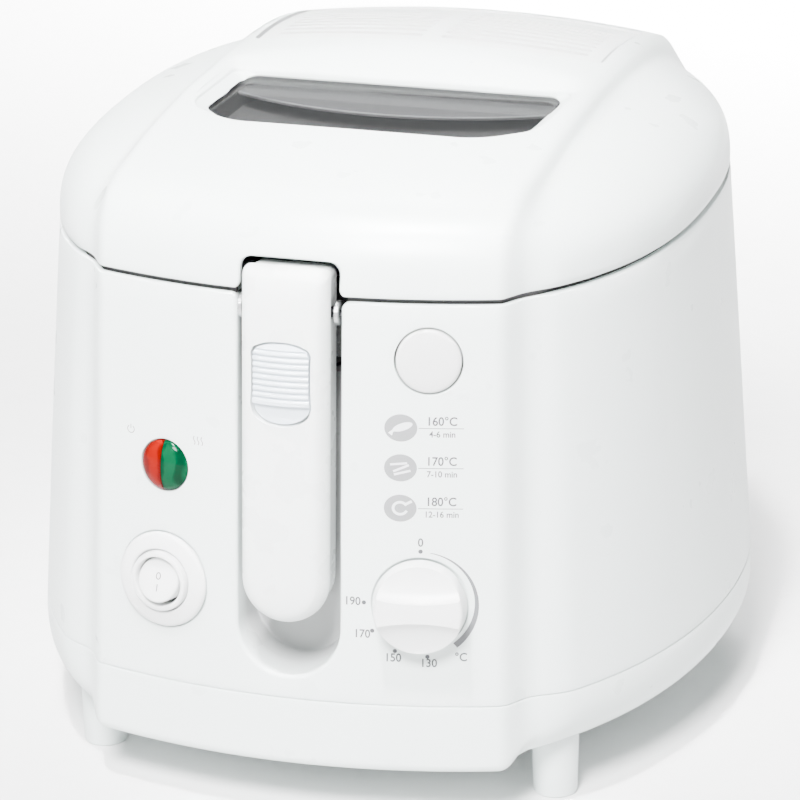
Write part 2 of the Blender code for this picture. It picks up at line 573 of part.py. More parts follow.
def make_lift():
    """A bent steel bracket: ears for the handle's pin outside, a rail for the basket inside."""
    bracket = box("handle_bracket", (-0.0090, -0.1066, 0.1560), (0.0090, -0.1054, 0.1846), steel())
    pieces = [box("bracket_bridge", (-0.0090, -0.1066, 0.1834), (0.0090, -0.0774, 0.1846), None, cutter=True),
              box("bracket_rail", (-0.0050, -0.0786, 0.0900), (0.0050, -0.0774, 0.1846), None, cutter=True),
              box("bracket_yoke", (-0.0172, -0.1066, 0.1560), (0.0172, -0.1054, 0.1720), None, cutter=True)]
    for side in (-1, 1):
        outline = [(-0.1054, 0.1640), (-0.1054, 0.1720), *arc((HINGE_Y, HINGE_Z), 0.0042, 60, 260, 8)]
        rings = [[Vector((side * x, y, z)) for y, z in outline] for x in (0.0160, 0.0172)]
        pieces.append(lofted(f"bracket_ear_{side}", rings, None, cutter=True))
    join(bracket, *pieces)
    cut(bracket, rod("ear_bore", (-0.03, HINGE_Y, HINGE_Z), (0.03, HINGE_Y, HINGE_Z), 0.0021, None, 16, True))


def make_basket():
    """The wire basket as a thin-walled cup with an open top and slots through its sides and floor."""
    wall, place = 0.0012, Matrix.Translation((0, PAN_CENTRE, 0))
    low, high, radius = BASKET_BOTTOM, BASKET_TOP, BASKET_R
    basket = turned("basket_mesh", [
        (0, low + wall), (radius - 0.010, low + wall), (radius - wall, low + 0.010), (radius - wall, high - 0.0042),
        (radius, high - 0.0042), (radius, low + 0.009), (radius - 0.009, low), (0, low)],
        material("mesh_steel", STEEL, 0.35, 1.0), place, 32)
    slots = [box(f"basket_slot_{i}", (-0.0900, -0.0045, low + 0.016), (0.0900, 0.0045, high - 0.014), None,
                 place @ Matrix.Rotation(math.radians(180 * (i + 0.5) / 6), 4, "Z"), True) for i in range(6)]
    cut(basket, *slots)
    rim = [(radius * math.sin(t), PAN_CENTRE + radius * math.cos(t), high - 0.0021)
           for t in np.linspace(0, 2 * math.pi, 25)[:-1]]
    tube("basket_rim", rim, 0.0018, steel(), closed=True, sides=1)
    hanger = box("basket_hanger", (-0.0095, -0.0814, high - 0.0240), (0.0095, -0.0742, high + 0.0040), steel())
    cut(hanger, box("hanger_channel", (-0.0054, -0.0790, high - 0.03), (0.0054, -0.0770, high + 0.01), None, cutter=True),
        box("hanger_relief", (-0.0040, -0.0900, high - 0.03), (0.0040, -0.0780, high + 0.01), None, cutter=True))


# ---- lid -------------------------------------------------------------------------------------
def window_outline(grow):
    side, front, rear = WINDOW_HALF + grow, WINDOW_FRONT - grow, WINDOW_REAR + grow
    bevel = WINDOW_CHAMFER_HALF + grow
    return [(-bevel, front), (bevel, front), (side, front + WINDOW_CHAMFER), (side, rear - 0.004),
            (side - 0.004, rear), (-side + 0.004, rear), (-side, rear - 0.004), (-side, front + WINDOW_CHAMFER)]


FILTER_BOX = (0.0638, 0.0365, 0.1010)  # half width, front and rear edge of the filter cover


def make_lid_shell():
    elevations = (0, 4, 7.5, 10.5, 13.5, 17, 22, 30, 43, 62)
    rings = [form_ring(SEAM_LID, e, WALL) for e in reversed(elevations)]
    shell = moulding("lid_shell", rings + [form_ring(SEAM_LID, e) for e in elevations], white())
    half, front, rear = FILTER_BOX
    notch = arc((-0.0180 + 0.004, NOTCH_TOP - 0.004), 0.004, 180, 90, 3) + arc((0.0180 - 0.004, NOTCH_TOP - 0.004), 0.004, 90, 0, 3)
    notch += [(0.0180, 0.17), (-0.0180, 0.17)]
    rings = [[Vector((x, y, z)) for x, z in notch] for y in (-0.150, -0.105)]
    catch = box("lid_catch", (LATCH_X - 0.005, -0.1202, 0.1772), (LATCH_X + 0.005, -0.1180, 0.1985), None, cutter=True)
    join(shell, catch)
    for side in (-1, 1):
        join(shell, hinge_lug(f"hinge_lug_{side}", side * 0.043))
    cut(shell, plate("window_opening", window_outline(-0.0012), 0.19, 0.24, None, cutter=True),
        box("filter_opening", (-half - 0.0003, front - 0.0004, 0.19), (half + 0.0003, rear + 0.0004, 0.24), None,
            cutter=True),
        lofted("handle_notch", rings, None, cutter=True),
        rod("lug_bore", (-0.065, LID_HINGE_Y, LID_HINGE_Z), (0.065, LID_HINGE_Y, LID_HINGE_Z), 0.0021, None, 16, True),
        box("catch_eye", (LATCH_X - 0.0035, -0.13, 0.1786), (LATCH_X + 0.0035, -0.110, 0.1826), None, cutter=True))


def hinge_lug(name, x, width=0.0160):
    """A lug on the back of the lid that turns between two ears of the housing."""
    back = arc((LID_HINGE_Y, LID_HINGE_Z), 0.0045, -90, 90, 8)
    outline = [(0.1290, 0.1862), (0.1340, 0.1850), *back, (0.1340, 0.1925), (0.1290, 0.1960)]
    rings = [[Vector((x + side * width / 2, y, z)) for y, z in outline] for side in (-1, 1)]
    return lofted(name, rings, None, cutter=True)


def make_hinge_pins():
    for side, name in ((-1, "hinge_pin_left"), (1, "hinge_pin_right")):
        rod(name, (side * 0.0285, LID_HINGE_Y, LID_HINGE_Z), (side * 0.0575, LID_HINGE_Y, LID_HINGE_Z), 0.0018, steel(), 16)


def make_window():
    """A glass pane that lies in the window opening, on a frame of sealing rubber."""
    pane = plate("window_glass", window_outline(-0.0018), -0.0012, 0.0012, material("glass", (0.6, 0.62, 0.62), 0.05))
    slope = Matrix.Translation((0, WINDOW_REAR, DISH_HEIGHT - 0.0022)) @ Matrix.Rotation(math.atan(DISH_TILT), 4, "X")
    pane.matrix_world = slope @ Matrix.Translation((0, -WINDOW_REAR, 0))
    frame = plate("window_seal", window_outline(0.0022), -0.0050, -0.0024, material("rubber", (0.3, 0.3, 0.3), 0.7))
    frame.matrix_world = pane.matrix_world
    cut(frame, plate("seal_opening", window_outline(-0.0050), -0.02, 0.02, None, pane.matrix_world, True))


def make_inner_lid():
    centre = Matrix.Translation((0, PAN_CENTRE, 0))
    liner = turned("inner_lid", [(0, 0.1890), (0.0985, 0.1890), (0.0985, 0.1864), (0.0965, 0.1864), (0.0950, 0.1878), (0, 0.1878)],
                   material("aluminium", (0.75, 0.76, 0.77), 0.35, 1.0), centre, 30)
    opening = box("liner_window", (-0.050, -0.048, 0.17), (0.050, -0.004, 0.20), None, cutter=True)
    vents = [box(f"liner_vent_{i}", (-0.045, 0.042 + i * 0.010, 0.17), (0.045, 0.047 + i * 0.010, 0.20), None, cutter=True)
             for i in range(5)]
    cut(liner, opening, *vents)
    seal = turned("lid_seal", [(0.0980, 0.1858), (0.0985, 0.1822), (0.0955, 0.1816), (0.0950, 0.1858), (0.0980, 0.1858)],
                  material("rubber", (0.3, 0.3, 0.3), 0.7), centre, 30)
    cut(seal, box("seal_gap", (-0.0110, -0.12, 0.17), (0.0110, -0.07, 0.19), None, cutter=True))


def make_filters():
    half, front, rear = FILTER_BOX
    xs = [half * k / 4 for k in range(-4, 5)]
    ys = [front + (rear - front) * k / 6 for k in range(7)]
    white_cover = white("cover_white")

    def build(shape):
        grids = []
        for drop in (0.0, 0.0022):
            grids.append([[shape.verts.new((x, y, float(band_top_height(x, y)) - drop - 0.0002)) for x in xs] for y in ys])
        top, bottom = grids
        for j in range(len(ys) - 1):
            for i in range(len(xs) - 1):
                for g in (top, bottom):
                    shape.faces.new((g[j][i], g[j][i + 1], g[j + 1][i + 1], g[j + 1][i]))
        for edge in ([(0, i) for i in range(len(xs))], [(len(ys) - 1, i) for i in range(len(xs))],
                     [(j, 0) for j in range(len(ys))], [(j, len(xs) - 1) for j in range(len(ys))]):
            for (j1, i1), (j2, i2) in zip(edge, edge[1:]):
                shape.faces.new((top[j1][i1], top[j2][i2], bottom[j2][i2], bottom[j1][i1]))

    cover = add_mesh("filter_cover", build, white_cover)
    for side in (-1, 1):
        low, high = sorted((side * 0.0040, side * 0.0560))
        for row in range(8):
            y = front + 0.0060 + row * 0.0056
            cut(cover, box(f"cover_slot_{side}_{row}", (low, y, 0.20), (high, y + 0.0020, 0.24), None, cutter=True))
    tray = box("filter_tray", (-half + 0.002, front + 0.002, 0.2000), (half - 0.002, rear - 0.002, 0.2130), white("holder_white"))
    cut(tray, box("tray_hollow", (-half + 0.0035, front + 0.0035, 0.2015), (half - 0.0035, rear - 0.0035, 0.23), None, cutter=True))
    for row in range(4):
        cut(tray, box(f"tray_vent_{row}", (-0.050, 0.046 + row * 0.013, 0.19), (0.050, 0.053 + row * 0.013, 0.21), None,
                      cutter=True))
    inner = (half - 0.0045, front + 0.0045, rear - 0.0045)
    box("carbon_filter", (-inner[0], inner[1], 0.2018), (inner[0], inner[2], 0.2078), material("charcoal", (0.07, 0.07, 0.07), 0.9))
    box("grease_filter", (-inner[0], inner[1], 0.2082), (inner[0], inner[2], 0.2122), material("felt", (0.85, 0.85, 0.82), 0.95))


# ---- wiring inlet -------------------------------------------------------------------------------
def make_wiring():
    black = material("black_plastic", DARK, 0.5)
    place = Matrix.Translation((0.055, 0.1320, 0.060)) @ Matrix.Rotation(math.radians(-90), 4, "X")
    turned("cable_gland", [(0.0034, 0.0145), (0.0062, 0.0145), (0.0072, 0.0090), (0.0085, 0.0078), (0.0085, 0.0052),
                           (0.0060, 0.0052), (0.0060, -0.0080), (0.0034, -0.0080), (0.0034, 0.0145)], black, place, 20)
    box("terminal_block", (0.040, 0.078, 0.0240), (0.072, 0.094, 0.0360), material("ceramic", (0.82, 0.80, 0.74), 0.6),
        bevel=0.0010)


# ---- joint axes --------------------------------------------------------------------------------
def hang_on(name, place, *children):
    """Parents moving pieces to an empty that stands on their joint's axis."""
    empty = add_object(name, None, None, place)
    bpy.context.view_layer.update()
    for child in children:
        piece = bpy.data.objects[child]
        piece.parent = empty
        piece.matrix_parent_inverse = empty.matrix_world.inverted()
    return empty


def add_pivots():
    lid = hang_on("lid_axis", Matrix.Translation((0, LID_HINGE_Y, LID_HINGE_Z)), "lid_shell", "window_glass",
                  "window_seal", "inner_lid", "lid_seal", "filter_tray", "carbon_filter", "grease_filter")
    cover = hang_on("filter_cover_axis", Matrix.Translation((0, FILTER_BOX[1], DISH_HEIGHT)), "filter_cover")
    handle = hang_on("handle_axis", Matrix.Translation((0, HINGE_Y, HINGE_Z)), "basket_handle")
    slider = hang_on("slider_axis", LEAN, "release_slider")
    for axis, carrier in ((cover, lid), (slider, handle)):
        axis.parent = carrier
        axis.matrix_parent_inverse = carrier.matrix_world.inverted()
    hang_on("basket_axis", Matrix.Translation((0, PAN_CENTRE, BASKET_BOTTOM)), "basket_mesh", "basket_rim",
            "basket_hanger")
    hang_on("knob_axis", face_frame(KNOB_AT), "thermostat_knob", "thermostat_shaft")
    hang_on("rocker_axis", face_frame(SWITCH_AT), "rocker")
    hang_on("button_axis", face_frame(BUTTON_AT), "release_button", "button_spring")
    hang_on("latch_axis", Matrix.Translation((LATCH_X, LATCH_Y, LATCH_PIVOT_Z)), "latch_lever")


def main():
    make_housing()
    make_base_tray()
    make_feet()
    make_rim_collar()
    make_pan()
    make_heating()
    make_thermostat()
    make_switch()
    make_lamp()
    make_release_button()
    make_latch()
    make_handle()
    make_lift()
    make_basket()
    make_lid_shell()
    make_hinge_pins()
    make_window()
    make_inner_lid()
    make_filters()
    make_wiring()
    add_pivots()


main()
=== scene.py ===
"""Looks of the cool-wall deep fryer: fine shells, printed dial, wire basket, studio and camera.

Metres, +Z up, the front faces -Y. Places come from the CAD frame. The shells are drawn from the
same outer form as the CAD solids, with the fillets and edges that the solids leave out.
"""

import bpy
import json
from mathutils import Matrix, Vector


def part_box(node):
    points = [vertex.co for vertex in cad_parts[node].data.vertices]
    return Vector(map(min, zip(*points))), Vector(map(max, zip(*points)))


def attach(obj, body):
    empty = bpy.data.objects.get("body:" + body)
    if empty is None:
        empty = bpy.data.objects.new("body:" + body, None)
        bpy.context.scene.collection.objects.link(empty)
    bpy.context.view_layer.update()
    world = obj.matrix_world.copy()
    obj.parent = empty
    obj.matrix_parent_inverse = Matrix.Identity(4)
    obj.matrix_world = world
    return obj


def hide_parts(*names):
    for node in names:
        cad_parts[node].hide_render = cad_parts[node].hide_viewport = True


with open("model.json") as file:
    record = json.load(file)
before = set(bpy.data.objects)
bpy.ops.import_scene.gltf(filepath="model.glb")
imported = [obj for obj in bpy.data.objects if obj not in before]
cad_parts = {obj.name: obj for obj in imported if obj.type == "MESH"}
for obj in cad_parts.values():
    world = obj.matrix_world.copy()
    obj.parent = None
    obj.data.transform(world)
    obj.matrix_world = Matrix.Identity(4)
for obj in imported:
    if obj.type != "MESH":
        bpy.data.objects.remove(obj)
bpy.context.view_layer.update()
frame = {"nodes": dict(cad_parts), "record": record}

import json
import math

import bmesh
import bpy
import numpy as np
from mathutils import Matrix, Vector

# ---- outer form ------------------------------------------------------------------------
WALL = 0.0025
SEAM_LID, RIM_TOP, SEAM_BASE = 0.1850, 0.1832, 0.0436
BAND_BOTTOM, TRAY_BOTTOM, TRAY_FLOOR = 0.0195, 0.0105, 0.0172
HALF_WIDTH, FRONT_DEPTH, REAR_DEPTH = (0.1241, 0.1123), (0.160, 0.1392), (0.140, 0.135)
PLAN_CENTRE, PLAN_POWER = (0.005, 0.0035), (2.10, 2.416)
SHOULDER_HEIGHT, SHOULDER_POWER = 0.0355, 2.95
KEEL_START, KEEL_POWER = 0.046, 3.8
FRONT_FACE, FRONT_LEAN, FRONT_RADIUS = 0.130, 0.0577, 0.215
REAR_FACE, REAR_LEAN, REAR_RADIUS = 0.132, 0.050, 0.600
BAND_HALF, BAND_SLANT, BAND_DEPTH = (0.0723, 0.0697), 0.75, 0.013
BAND_PROUD_FRONT, BAND_PROUD_TOP = 0.0085, 0.0055
LID_LEAN, LID_EDGE_TOP, LID_PEAK, LID_CORNER = 0.19, 0.2214, -0.005, 0.016
LID_FALL_FRONT, LID_FALL_REAR, LID_REAR_START = 0.955, 1.8, 0.040
LID_CROWN = (0.0026, 0.0052)
WINDOW_HALF, WINDOW_CHAMFER_HALF = 0.0585, 0.0434
WINDOW_FRONT, WINDOW_REAR, WINDOW_CHAMFER = -0.0560, 0.0030, 0.0165
DISH_HEIGHT, DISH_TILT, DISH_RISE_REAR, DISH_RISE_SIDE = 0.2181, -0.052, 0.32, 0.45
DISH_EDGE = 0.0012  # softness of the edge around the dish
LEDGE_FRONT, LEDGE_RADIUS = -0.0225, 0.104  # ledge under the window glass

# ---- front details: (x, z) of each centre ----------------------------------------------
LAMP_AT, LAMP_R = (-0.0450, 0.1200), 0.0089
SWITCH_AT, SWITCH_R = (-0.0455, 0.0797), 0.0167
BUTTON_AT, BUTTON_R = (0.0468, 0.1643), 0.0110
KNOB_AT, KNOB_R, KNOB_H = (0.0448, 0.0800), 0.0160, 0.0104
HANDLE_HALF, HANDLE_TOP, HANDLE_BOTTOM, HANDLE_BACK = 0.0151, 0.1949, 0.0716, 0.0100
HINGE_Y, HINGE_Z = -0.1270, 0.1790
RECESS_HALF, RECESS_FLOOR, RECESS_DEPTH = 0.0180, 0.0514, 0.0190
NOTCH_HALF, NOTCH_TOP = 0.0172, 0.1961
SLIDER_HALF, SLIDER_TOP, SLIDER_BOTTOM = 0.0099, 0.1701, 0.1424
FILTER_HALF, FILTER_FRONT, FILTER_REAR = 0.0638, 0.0365, 0.1010
PAN_CENTRE = 0.008
ROCKER_SLOPE = 0.14
PRINT_LIFT = 0.00006
AXIS = 0.0001  # radius that closes the end of a turned solid
FEET = ("foot_front_left", "foot_front_right", "foot_rear_left", "foot_rear_right")

# ---- window: depths under the lid's surface ---------------------------------------------
GLASS_DEPTHS, LEDGE_DEPTH = (0.0018, 0.0036), 0.0040
WELL_DEPTHS, FLOOR_DEPTHS = (0.0039, 0.0110), (0.0105, 0.0112)

# ---- studio and camera ------------------------------------------------------------------
WORLD = 0.10
LIGHTS = (  # name, place, size, power, spread in degrees, aim
    ("key", (0.10, -2.0, 2.2), 0.9, 415.0, 180, (0, -0.02, 0.16)),
    ("crown", (-0.05, -0.7, 1.9), 0.25, 2.2, 16, (0, -0.02, 0.16)),
    ("rim", (-0.4, 1.5, 2.1), 0.5, 38.0, 180, (0, -0.02, 0.16)),
    ("sweep", (0.0, 1.5, 1.5), 0.8, 120.0, 70, (0, 1.3, 0)),
)
CAMERA_AT, CAMERA_LOOK = Vector((0.4430, -1.5019, 0.6772)), Vector((-0.0003, 0, 0.1017))
CAMERA_ROLL, CAMERA_LENS = math.radians(-0.514), 208.6


# ---- outer form: distance functions, negative inside -----------------------------------
def round_and(a, b, r):
    """Intersection of two solids, with a fillet of radius r on their common edge."""
    return np.minimum(-r, np.maximum(a, b)) + np.hypot(np.maximum(r + a, 0), np.maximum(r + b, 0))


def round_or(a, b, r):
    """Union of two solids, with a fillet of radius r in their common corner."""
    return np.maximum(r, np.minimum(a, b)) - np.hypot(np.maximum(r - a, 0), np.maximum(r - b, 0))


def soft_min(a, b, width):
    """The lower of two heights, blended where they come within width of each other."""
    near = np.maximum(width - np.abs(a - b), 0) / width
    return np.minimum(a, b) - near * near * width / 4


def at_height(pair, z):
    """A value that runs evenly from the base seam to the lid seam."""
    share = np.clip((z - SEAM_BASE) / (SEAM_LID - SEAM_BASE), -0.1, 1)
    return pair[0] + (pair[1] - pair[0]) * share


def band_top_height(x, y):
    """Height of the lid's central band, dished around the window."""
    rear = np.clip(y / 0.060, 0, 1) ** 2 * (3 - 2 * np.clip(y / 0.060, 0, 1))
    crown = (LID_CROWN[0] + (LID_CROWN[1] - LID_CROWN[0]) * rear) * (1 - (x / BAND_HALF[1]) ** 2)
    fall = LID_FALL_FRONT * np.minimum(y - LID_PEAK, 0) ** 2
    fall = fall + LID_FALL_REAR * np.maximum(y - LID_REAR_START, 0) ** 2
    lift = np.hypot(
        DISH_RISE_REAR * np.maximum(y - WINDOW_REAR, 0),
        DISH_RISE_SIDE * np.maximum(np.abs(x) - WINDOW_HALF, 0),
    )
    dish = DISH_HEIGHT + DISH_TILT * (y - WINDOW_REAR) + lift
    return soft_min(LID_EDGE_TOP + crown - fall, dish, DISH_EDGE)


def front_face_y(x, z):
    """Where the band's front face stands at a height, over housing and lid."""
    lean = LID_LEAN * np.maximum(z - SEAM_LID, 0) - FRONT_LEAN * np.maximum(SEAM_LID - z, 0)
    return lean - FRONT_FACE + x * x / (2 * FRONT_RADIUS)


def band_faces(x, y, z):
    """Signed distances to the band's front, top and rear faces."""
    rear = REAR_FACE + REAR_LEAN * np.maximum(SEAM_LID - z, 0)
    return front_face_y(x, z) - y, z - band_top_height(x, y), y - rear + x * x / (2 * REAR_RADIUS)


def side_lobes(x, y, z):
    front, top, rear = band_faces(x, y, z)
    centre = at_height(PLAN_CENTRE, z)
    depth = np.where(y < centre, at_height(FRONT_DEPTH, z), at_height(REAR_DEPTH, z))
    power = at_height(PLAN_POWER, z)
    across, along = np.abs(x / at_height(HALF_WIDTH, z)), np.abs((y - centre) / depth)
    plan = (across**power + along**power) ** (1 / power)
    up = np.maximum(0, (z - SEAM_LID) / SHOULDER_HEIGHT)
    down = np.maximum(0, (KEEL_START - z) / (KEEL_START - TRAY_BOTTOM))
    shoulder = (plan**SHOULDER_POWER + up**SHOULDER_POWER) ** (1 / SHOULDER_POWER)
    keel = (plan**KEEL_POWER + down**KEEL_POWER) ** (1 / KEEL_POWER)
    lobes = (np.where(z > KEEL_START, shoulder, keel) - 1) * 0.110
    lobes = round_and(lobes, front + BAND_PROUD_FRONT, 0.004)
    return round_and(lobes, round_and(top + BAND_PROUD_TOP, rear + BAND_PROUD_FRONT, 0.010), 0.004)


def band(x, y, z):
    front, top, rear = band_faces(x, y, z)
    slab = round_and(round_and(front, top, LID_CORNER), rear, LID_CORNER)
    slab = round_and(slab, BAND_BOTTOM - z, 0.003)
    side = np.abs(x) - at_height(BAND_HALF, z) + BAND_SLANT * np.maximum(slab, -BAND_DEPTH)
    return round_and(slab, side, 0.002)


def outer_form(x, y, z):
    return round_or(side_lobes(x, y, z), band(x, y, z), 0.003)


def spread(*stops):
    """Numbers that run between stops: (value, step up to the next value), ..., last value."""
    found = []
    for (start, step), end in zip(stops[:-1], [s[0] if isinstance(s, tuple) else s for s in stops[1:]]):
        count = max(1, round((end - start) / step))
        found += [start + (end - start) * i / count for i in range(count)]
    return found + [stops[-1]]


# Dense where the band's flanks stand.
QUARTERS = spread((0, 1.5), (18, 0.8), (26, 0.35), (37, 0.9), (50, 1.4),
                  (130, 0.9), (143, 0.35), (154, 0.8), (162, 1.5), 180)
ANGLES = np.radians(QUARTERS + [360 - a for a in reversed(QUARTERS[1:-1])])


def form_rings(heights, elevations, insets):
    """Points where rays from the axis leave the outer form: one ring per height, elevation and inset."""
    height, climb, inset = (np.asarray(v, float)[:, None] for v in (heights, np.radians(elevations), insets))
    aim = (np.sin(ANGLES) * np.cos(climb), -np.cos(ANGLES) * np.cos(climb), np.sin(climb) + 0 * ANGLES)
    low, high = np.zeros_like(aim[0]), np.full_like(aim[0], 0.26)
    for _ in range(34):
        middle = (low + high) / 2
        inside = outer_form(middle * aim[0], middle * aim[1], height + middle * aim[2]) < -inset
        low, high = np.where(inside, middle, low), np.where(inside, high, middle)
    return np.stack([low * aim[0], low * aim[1], height + low * aim[2]], axis=-1)


# ---- mesh helpers ----------------------------------------------------------------------
def placed(name, data, place=None, finish=None):
    """An object in the scene for a mesh, a curve, a light or a camera."""
    obj = bpy.data.objects.new(name, data)
    bpy.context.scene.collection.objects.link(obj)
    if place is not None:
        obj.matrix_world = place
    if finish:
        data.materials.append(finish)
    return obj


def smoothed(obj, angle):
    """Smooth but for edges sharper than an angle in degrees."""
    obj.data.shade_smooth()
    obj.data.set_sharp_from_angle(angle=math.radians(angle))


def add_mesh(name, points, faces, finish=None, place=None, smooth=38):
    """A mesh object from points and faces, smooth but for edges sharper than smooth degrees."""
    mesh = bpy.data.meshes.new(name)
    mesh.from_pydata([tuple(p) for p in points], [], [tuple(f) for f in faces])
    obj = placed(name, mesh, place, finish)
    shape = bmesh.new()
    shape.from_mesh(mesh)
    bmesh.ops.recalc_face_normals(shape, faces=shape.faces)
    shape.to_mesh(mesh)
    shape.free()
    smoothed(obj, smooth)
    return obj


def skin(rings, wrap=False):
    """Points and faces of a loft through rings of equal length, capped or wrapped round."""
    rings = np.asarray(rings, float)
    count, size = rings.shape[:2]
    faces = []
    for k in range(count if wrap else count - 1):
        first, second = k * size, (k + 1) % count * size
        for i in range(size):
            j = (i + 1) % size
            faces.append((first + i, first + j, second + j, second + i))
    if not wrap:
        faces.append(tuple(range(size))[::-1])
        faces.append(tuple(range((count - 1) * size, count * size)))
    return rings.reshape(-1, 3), faces


def lofted(name, rings, finish=None, place=None, wrap=False, smooth=38):
    points, faces = skin(rings, wrap)
    return add_mesh(name, points, faces, finish, place, smooth)


def turned(name, profile, finish, place=None, steps=96, smooth=38):
    """A solid of revolution about Z from (radius, height) points; a radius of 0 closes an end."""
    turns = [2 * math.pi * i / steps for i in range(steps)]
    closed = profile[0] == profile[-1]
    inner = [p for p in (profile[:-1] if closed else profile) if p[0] > 0]
    rings = [[(r * math.cos(t), r * math.sin(t), h) for t in turns] for r, h in inner]
    return lofted(name, rings, finish, place, wrap=closed, smooth=smooth)


def fillet(corner, start, end, radius, steps=5):
    """Points of an arc that rounds the corner between two straight runs of a profile."""
    c, a, b = Vector(corner), Vector(start) - Vector(corner), Vector(end) - Vector(corner)
    half = a.angle(b) / 2
    reach = min(radius / math.tan(half), a.length * 0.49, b.length * 0.49)
    radius = reach * math.tan(half)
    centre = c + (a.normalized() + b.normalized()).normalized() * (radius / math.sin(half))
    first, last = c + a.normalized() * reach - centre, c + b.normalized() * reach - centre
    return [tuple(centre + blend_arc(first, last, i / steps)) for i in range(steps + 1)]


def blend_arc(first, last, share):
    """Part of the way round from one radius to another of the same length."""
    angle = first.angle(last)
    if angle < 1e-6:
        return first
    return (math.sin((1 - share) * angle) * first + math.sin(share * angle) * last) / math.sin(angle)


def rounded(profile, radius, steps=5):
    """A profile with every inner corner rounded."""
    points = [profile[0]]
    for before, corner, after in zip(profile, profile[1:], profile[2:]):
        points += fillet(corner, before, after, radius, steps)
    return points + [profile[-1]]


def cut_with(obj, tool, operation="DIFFERENCE"):
    """A Boolean, applied at once; the tool is removed."""
    step = obj.modifiers.new("cut", "BOOLEAN")
    step.operation, step.object, step.solver = operation, tool, "MANIFOLD"
    graph = bpy.context.evaluated_depsgraph_get()
    mesh = bpy.data.meshes.new_from_object(obj.evaluated_get(graph))
    obj.modifiers.remove(step)
    obj.data = mesh
    bpy.data.objects.remove(tool, do_unlink=True)


def cut_all(obj, tools, smooth=32, unions=()):
    for tool in unions:
        cut_with(obj, tool, "UNION")
    for tool in tools:
        cut_with(obj, tool)
    smoothed(obj, smooth)


def box(name, low, high, place=None, bevel=0.0):
    shape = bmesh.new()
    bmesh.ops.create_cube(shape, size=1)
    bmesh.ops.scale(shape, vec=Vector(high) - Vector(low), verts=shape.verts)
    bmesh.ops.translate(shape, vec=(Vector(high) + Vector(low)) / 2, verts=shape.verts)
    if bevel:
        bmesh.ops.bevel(shape, geom=shape.edges[:], offset=bevel, segments=3, profile=0.5, affect="EDGES")
    mesh = bpy.data.meshes.new(name)
    shape.to_mesh(mesh)
    shape.free()
    obj = placed(name, mesh, place)
    smoothed(obj, 38)
    return obj


def upright(name, outline, low, high):
    """A prism with an (x, y) outline, between two heights."""
    return lofted(name, [[(x, y, z) for x, y in outline] for z in (low, high)])


def tube(name, runs, radius, finish, sides=6, closed=False):
    """Round wires along runs of points, as one mesh with closed ends."""
    points, faces = [], []
    for run in runs:
        run = np.asarray(run, float)
        ahead = np.roll(run, -1, axis=0) - np.roll(run, 1, axis=0) if closed else np.gradient(run, axis=0)
        ahead /= np.linalg.norm(ahead, axis=1)[:, None]
        across = np.cross(ahead, (0, 0, 1.0))
        flat = np.linalg.norm(across, axis=1) < 0.05
        across[flat] = np.cross(ahead[flat], (1.0, 0, 0))
        across /= np.linalg.norm(across, axis=1)[:, None]
        other = np.cross(ahead, across)
        turns = np.arange(sides) * 2 * math.pi / sides
        ring = across[:, None] * np.cos(turns)[:, None] + other[:, None] * np.sin(turns)[:, None]
        more, sheets = skin(run[:, None] + radius * ring, wrap=closed)
        faces += [tuple(len(points) + i for i in face) for face in sheets]
        points += [tuple(p) for p in more]
    return add_mesh(name, points, faces, finish, smooth=60)


def face_frame(at):
    """Frame on the front band at (x, z): local Z points out of the face, local Y up it."""
    x, z = at
    out = Vector((x / FRONT_RADIUS, -1, FRONT_LEAN)).normalized()
    across = Vector((1, x / FRONT_RADIUS, 0)).normalized()
    turn = Matrix((across, out.cross(across), out)).transposed().to_4x4()
    return Matrix.Translation((x, float(front_face_y(x, z)), z)) @ turn


LEAN = Matrix.Translation((0, -FRONT_FACE, SEAM_LID)) @ Matrix.Rotation(-math.atan(FRONT_LEAN), 4, "X")
AXLE = Matrix.Translation((0, HINGE_Y, HINGE_Z)) @ Matrix.Rotation(math.radians(90), 4, "Y")


def finish_piece(obj, body, slot, *nodes):
    """Says which body the piece moves with and which CAD nodes it stands for; its slot is not used."""
    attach(obj, body)
    if nodes:
        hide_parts(*nodes)
    return obj


# ---- materials -------------------------------------------------------------------------
def node_material(name, colour, roughness, metallic=0.0, **sockets):
    """A Principled material; further socket values are given by their names with _ for spaces."""
    made = bpy.data.materials.new(name)
    made.use_nodes = True
    shader = made.node_tree.nodes["Principled BSDF"]
    shader.inputs["Base Color"].default_value = (*colour, 1)
    shader.inputs["Roughness"].default_value = roughness
    shader.inputs["Metallic"].default_value = metallic
    for socket, value in sockets.items():
        shader.inputs[socket.replace("_", " ")].default_value = value
    return made, made.node_tree, shader


def add_node(tree, kind, **inputs):
    """A shader node; each input, named with _ for spaces, takes a value or a link from a socket."""
    node = tree.nodes.new("ShaderNode" + kind)
    for name, value in inputs.items():
        socket = node.inputs[name.replace("_", " ")]
        if isinstance(value, bpy.types.NodeSocket):
            tree.links.new(value, socket)
        else:
            socket.default_value = value
    return node


def add_noise(tree, scale, detail=3.0, stretch=(1, 1, 1)):
    """Noise in object coordinates, which are the row frame."""
    place = add_node(tree, "TexCoord")
    shrink = add_node(tree, "Mapping", Vector=place.outputs["Object"], Scale=stretch)
    return add_node(tree, "TexNoise", Vector=shrink.outputs["Vector"], Scale=scale, Detail=detail)


def ramp(tree, source, low, high, start=0.3, end=0.7):
    """Maps a noise between two colours or grey levels."""
    node = add_node(tree, "ValToRGB", Fac=source)
    for stop, at, value in zip(node.color_ramp.elements, (start, end), (low, high)):
        stop.position = at
        stop.color = (*value, 1) if isinstance(value, tuple) else (value, value, value, 1)
    return node.outputs["Color"]


